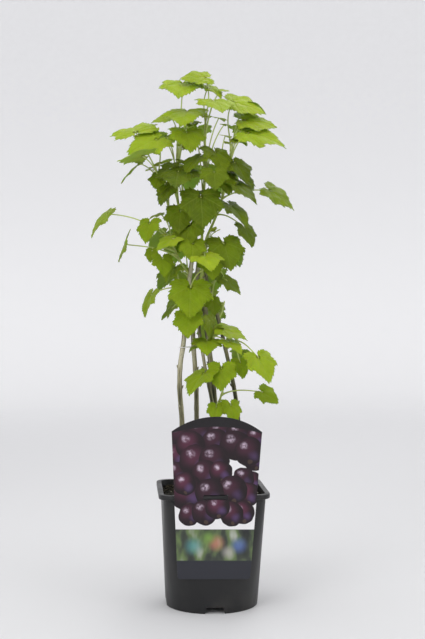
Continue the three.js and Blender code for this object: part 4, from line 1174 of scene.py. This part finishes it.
def make_label(material):
    """A printed plate with softened edges, slit for the tongue that folds back onto the lip."""
    outline = label_outline()
    from_middle = outline - (0, LABEL_MIDDLE)
    shrunk = outline - LABEL_EDGE_INSET * unit(from_middle)
    layers = ((shrunk, 0), (outline, LABEL_EDGE_DEPTH), (outline, LABEL_THICKNESS - LABEL_EDGE_DEPTH),
              (shrunk, LABEL_THICKNESS))
    body = np.concatenate([np.insert(flat, 1, -depth, axis=1) for flat, depth in layers])
    sides = len(outline)
    ring = np.arange(sides)[None]
    front_ring = (len(layers) - 1) * sides + ring
    faces = [grid_faces(len(layers), sides, wrap=True)[:, ::-1], ring, front_ring[:, ::-1]]
    maps = [body[f][..., [0, 2]] / PRINT_UNIT for f in faces]
    maps[1] = maps[1] + (0, BACK_SHIFT)
    parts = MeshParts()
    parts.add(label_place(body), faces, maps)
    plate = parts.make("label_plate", [material])
    fold = POT_HEIGHT + TONGUE_GAP + LABEL_THICKNESS / 2
    front = -LIP_HALF_WIDTH - LABEL_GAP - LABEL_THICKNESS
    half_slot = TONGUE_WIDTH / 2 + TONGUE_CUT
    slot = MeshParts()
    add_loft(slot, [rectangle(half_slot, (front - SLOT_REACH, z), (front + SLOT_REACH, z))
                    for z in (fold - TONGUE_LENGTH, fold)])
    carve(plate, slot.make("label_cutter", [material]), LABEL_SHARP_ANGLE)
    joined = [plate, make_tongue(material, fold)]
    with bpy.context.temp_override(active_object=plate, selected_editable_objects=joined):
        bpy.ops.object.join()
    return plate


def make_tongue(material, fold):
    """The cut tongue, bent back from the top of its slot to lie on the lip."""
    middle = -LIP_HALF_WIDTH - LABEL_GAP - LABEL_THICKNESS / 2
    end = TONGUE_LENGTH - LABEL_THICKNESS / 2
    path = np.array([*TONGUE_BEND, (end, 0)]) + (middle, fold)
    off = unit(np.gradient(path, axis=0))[:, ::-1] * (-1, 1) * (LABEL_THICKNESS / 2 - TONGUE_SLIM)
    parts = MeshParts()
    add_loft(parts, [rectangle(TONGUE_WIDTH / 2, at + up, at - up) for at, up in zip(path, off)])
    return parts.make("label_tongue", [material], TONGUE_SHARP_ANGLE)


def make_string(material):
    """Twisted strands in one turn round the canes."""
    parts = MeshParts()
    share = np.arange(STRAND_STEPS) / STRAND_STEPS
    centre = Route([(x, y, TIE_HEIGHT) for x, y in TIE_ROUTE], closed=True).at(share)
    out = np.cross(unit(np.roll(centre, -1, axis=0) - np.roll(centre, 1, axis=0)), UP)
    spin = circle(STRAND_SIDES)[None, :, None]
    faces = grid_faces(STRAND_STEPS + 1, STRAND_SIDES, wrap=True) % (STRAND_STEPS * STRAND_SIDES)
    for start in circle(STRAND_COUNT):
        twist = (2 * np.pi * STRAND_TURNS * share + start)[:, None]
        line = centre + STRAND_OFFSET * (np.cos(twist) * out + np.sin(twist) * UP)
        rings = line[:, None] + STRAND_RADIUS * (np.cos(spin) * out[:, None] + np.sin(spin) * UP)
        parts.add(rings.reshape(-1, 3), [faces], [np.zeros((len(faces), 4, 2))])
    return parts.make("string_tie", [material])


def settle(piece, node):
    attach(piece, "root")
    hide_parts(node)


# Stage, light and camera

def make_stage():
    """A pale round floor that curves up into a backdrop on every side."""
    profile = [(radius, 0.0) for radius in STAGE_FLAT_RINGS]
    profile += [(STAGE_RADIUS - STAGE_BEND + STAGE_BEND * math.sin(a), STAGE_BEND - STAGE_BEND * math.cos(a))
                for a in np.linspace(0, math.pi / 2, STAGE_BEND_STEPS)[1:]]
    profile += [(STAGE_RADIUS, STAGE_HEIGHT)]
    points = [(r * math.cos(a), r * math.sin(a), z) for r, z in profile for a in circle(STAGE_SIDES)]
    faces = grid_faces(len(profile), STAGE_SIDES, wrap=True)[:, ::-1].tolist()
    mesh = bpy.data.meshes.new("floor")
    mesh.from_pydata(points, [], [*faces, list(range(STAGE_SIDES))])
    mesh.polygons.foreach_set("use_smooth", np.ones(len(mesh.polygons), bool))
    mesh.materials.append(paper_material())
    floor = new_object("floor", mesh)
    floor.visible_shadow = False


def make_light(name, place, aim_height, size, power):
    lamp = bpy.data.lights.new(name, "AREA")
    lamp.shape, lamp.size, lamp.energy = "DISK", size, power
    made = new_object(name, lamp)
    made.location = place
    made.rotation_euler = (Vector((0, 0, aim_height)) - Vector(place)).to_track_quat("-Z", "Y").to_euler()


def make_sky():
    world = bpy.data.worlds.new("studio")
    world.use_nodes = True
    sky = world.node_tree.nodes["Background"].inputs
    sky["Color"].default_value, sky["Strength"].default_value = SKY_COLOUR, SKY_STRENGTH
    bpy.context.scene.world = world


def make_camera():
    data = bpy.data.cameras.new("camera")
    data.sensor_fit, data.sensor_height = "VERTICAL", SENSOR_HEIGHT
    data.lens = FOCAL_PIXELS / IMAGE_HEIGHT * SENSOR_HEIGHT
    data.shift_x = (IMAGE_WIDTH / 2 - AXIS_COLUMN) / IMAGE_HEIGHT
    camera = new_object("camera", data)
    turn = math.radians(CAMERA_TURN)
    distance = CAMERA_DISTANCE * MM
    camera.location = (math.sin(turn) * distance, -math.cos(turn) * distance, CAMERA_HEIGHT * MM)
    camera.rotation_euler = (math.radians(90 - CAMERA_PITCH), 0, turn)
    bpy.context.scene.camera = camera


make_camera()
make_stage()
for name, light in LIGHTS.items():
    make_light(name, *light)
make_sky()
bpy.context.scene.view_settings.view_transform = "Standard"

leaf, stalk, bark = leaf_material(), stalk_material(), bark_material()
patterns = [BladePattern(phase) for phase in range(0, 2 * SAMPLES_PER_TOOTH, 2)]
for name, shoot in SHOOTS.items():
    settle(make_shoot(name, shoot, patterns, [leaf, stalk]), name)
for name, cane in CANES.items():
    settle(make_cane(name, cane, [bark]), name)
settle(make_pot(pot_material()), "pot")
settle(make_compost(compost_material()), "soil")
settle(make_label(label_material()), "label")
settle(make_string(string_material()), "tie")
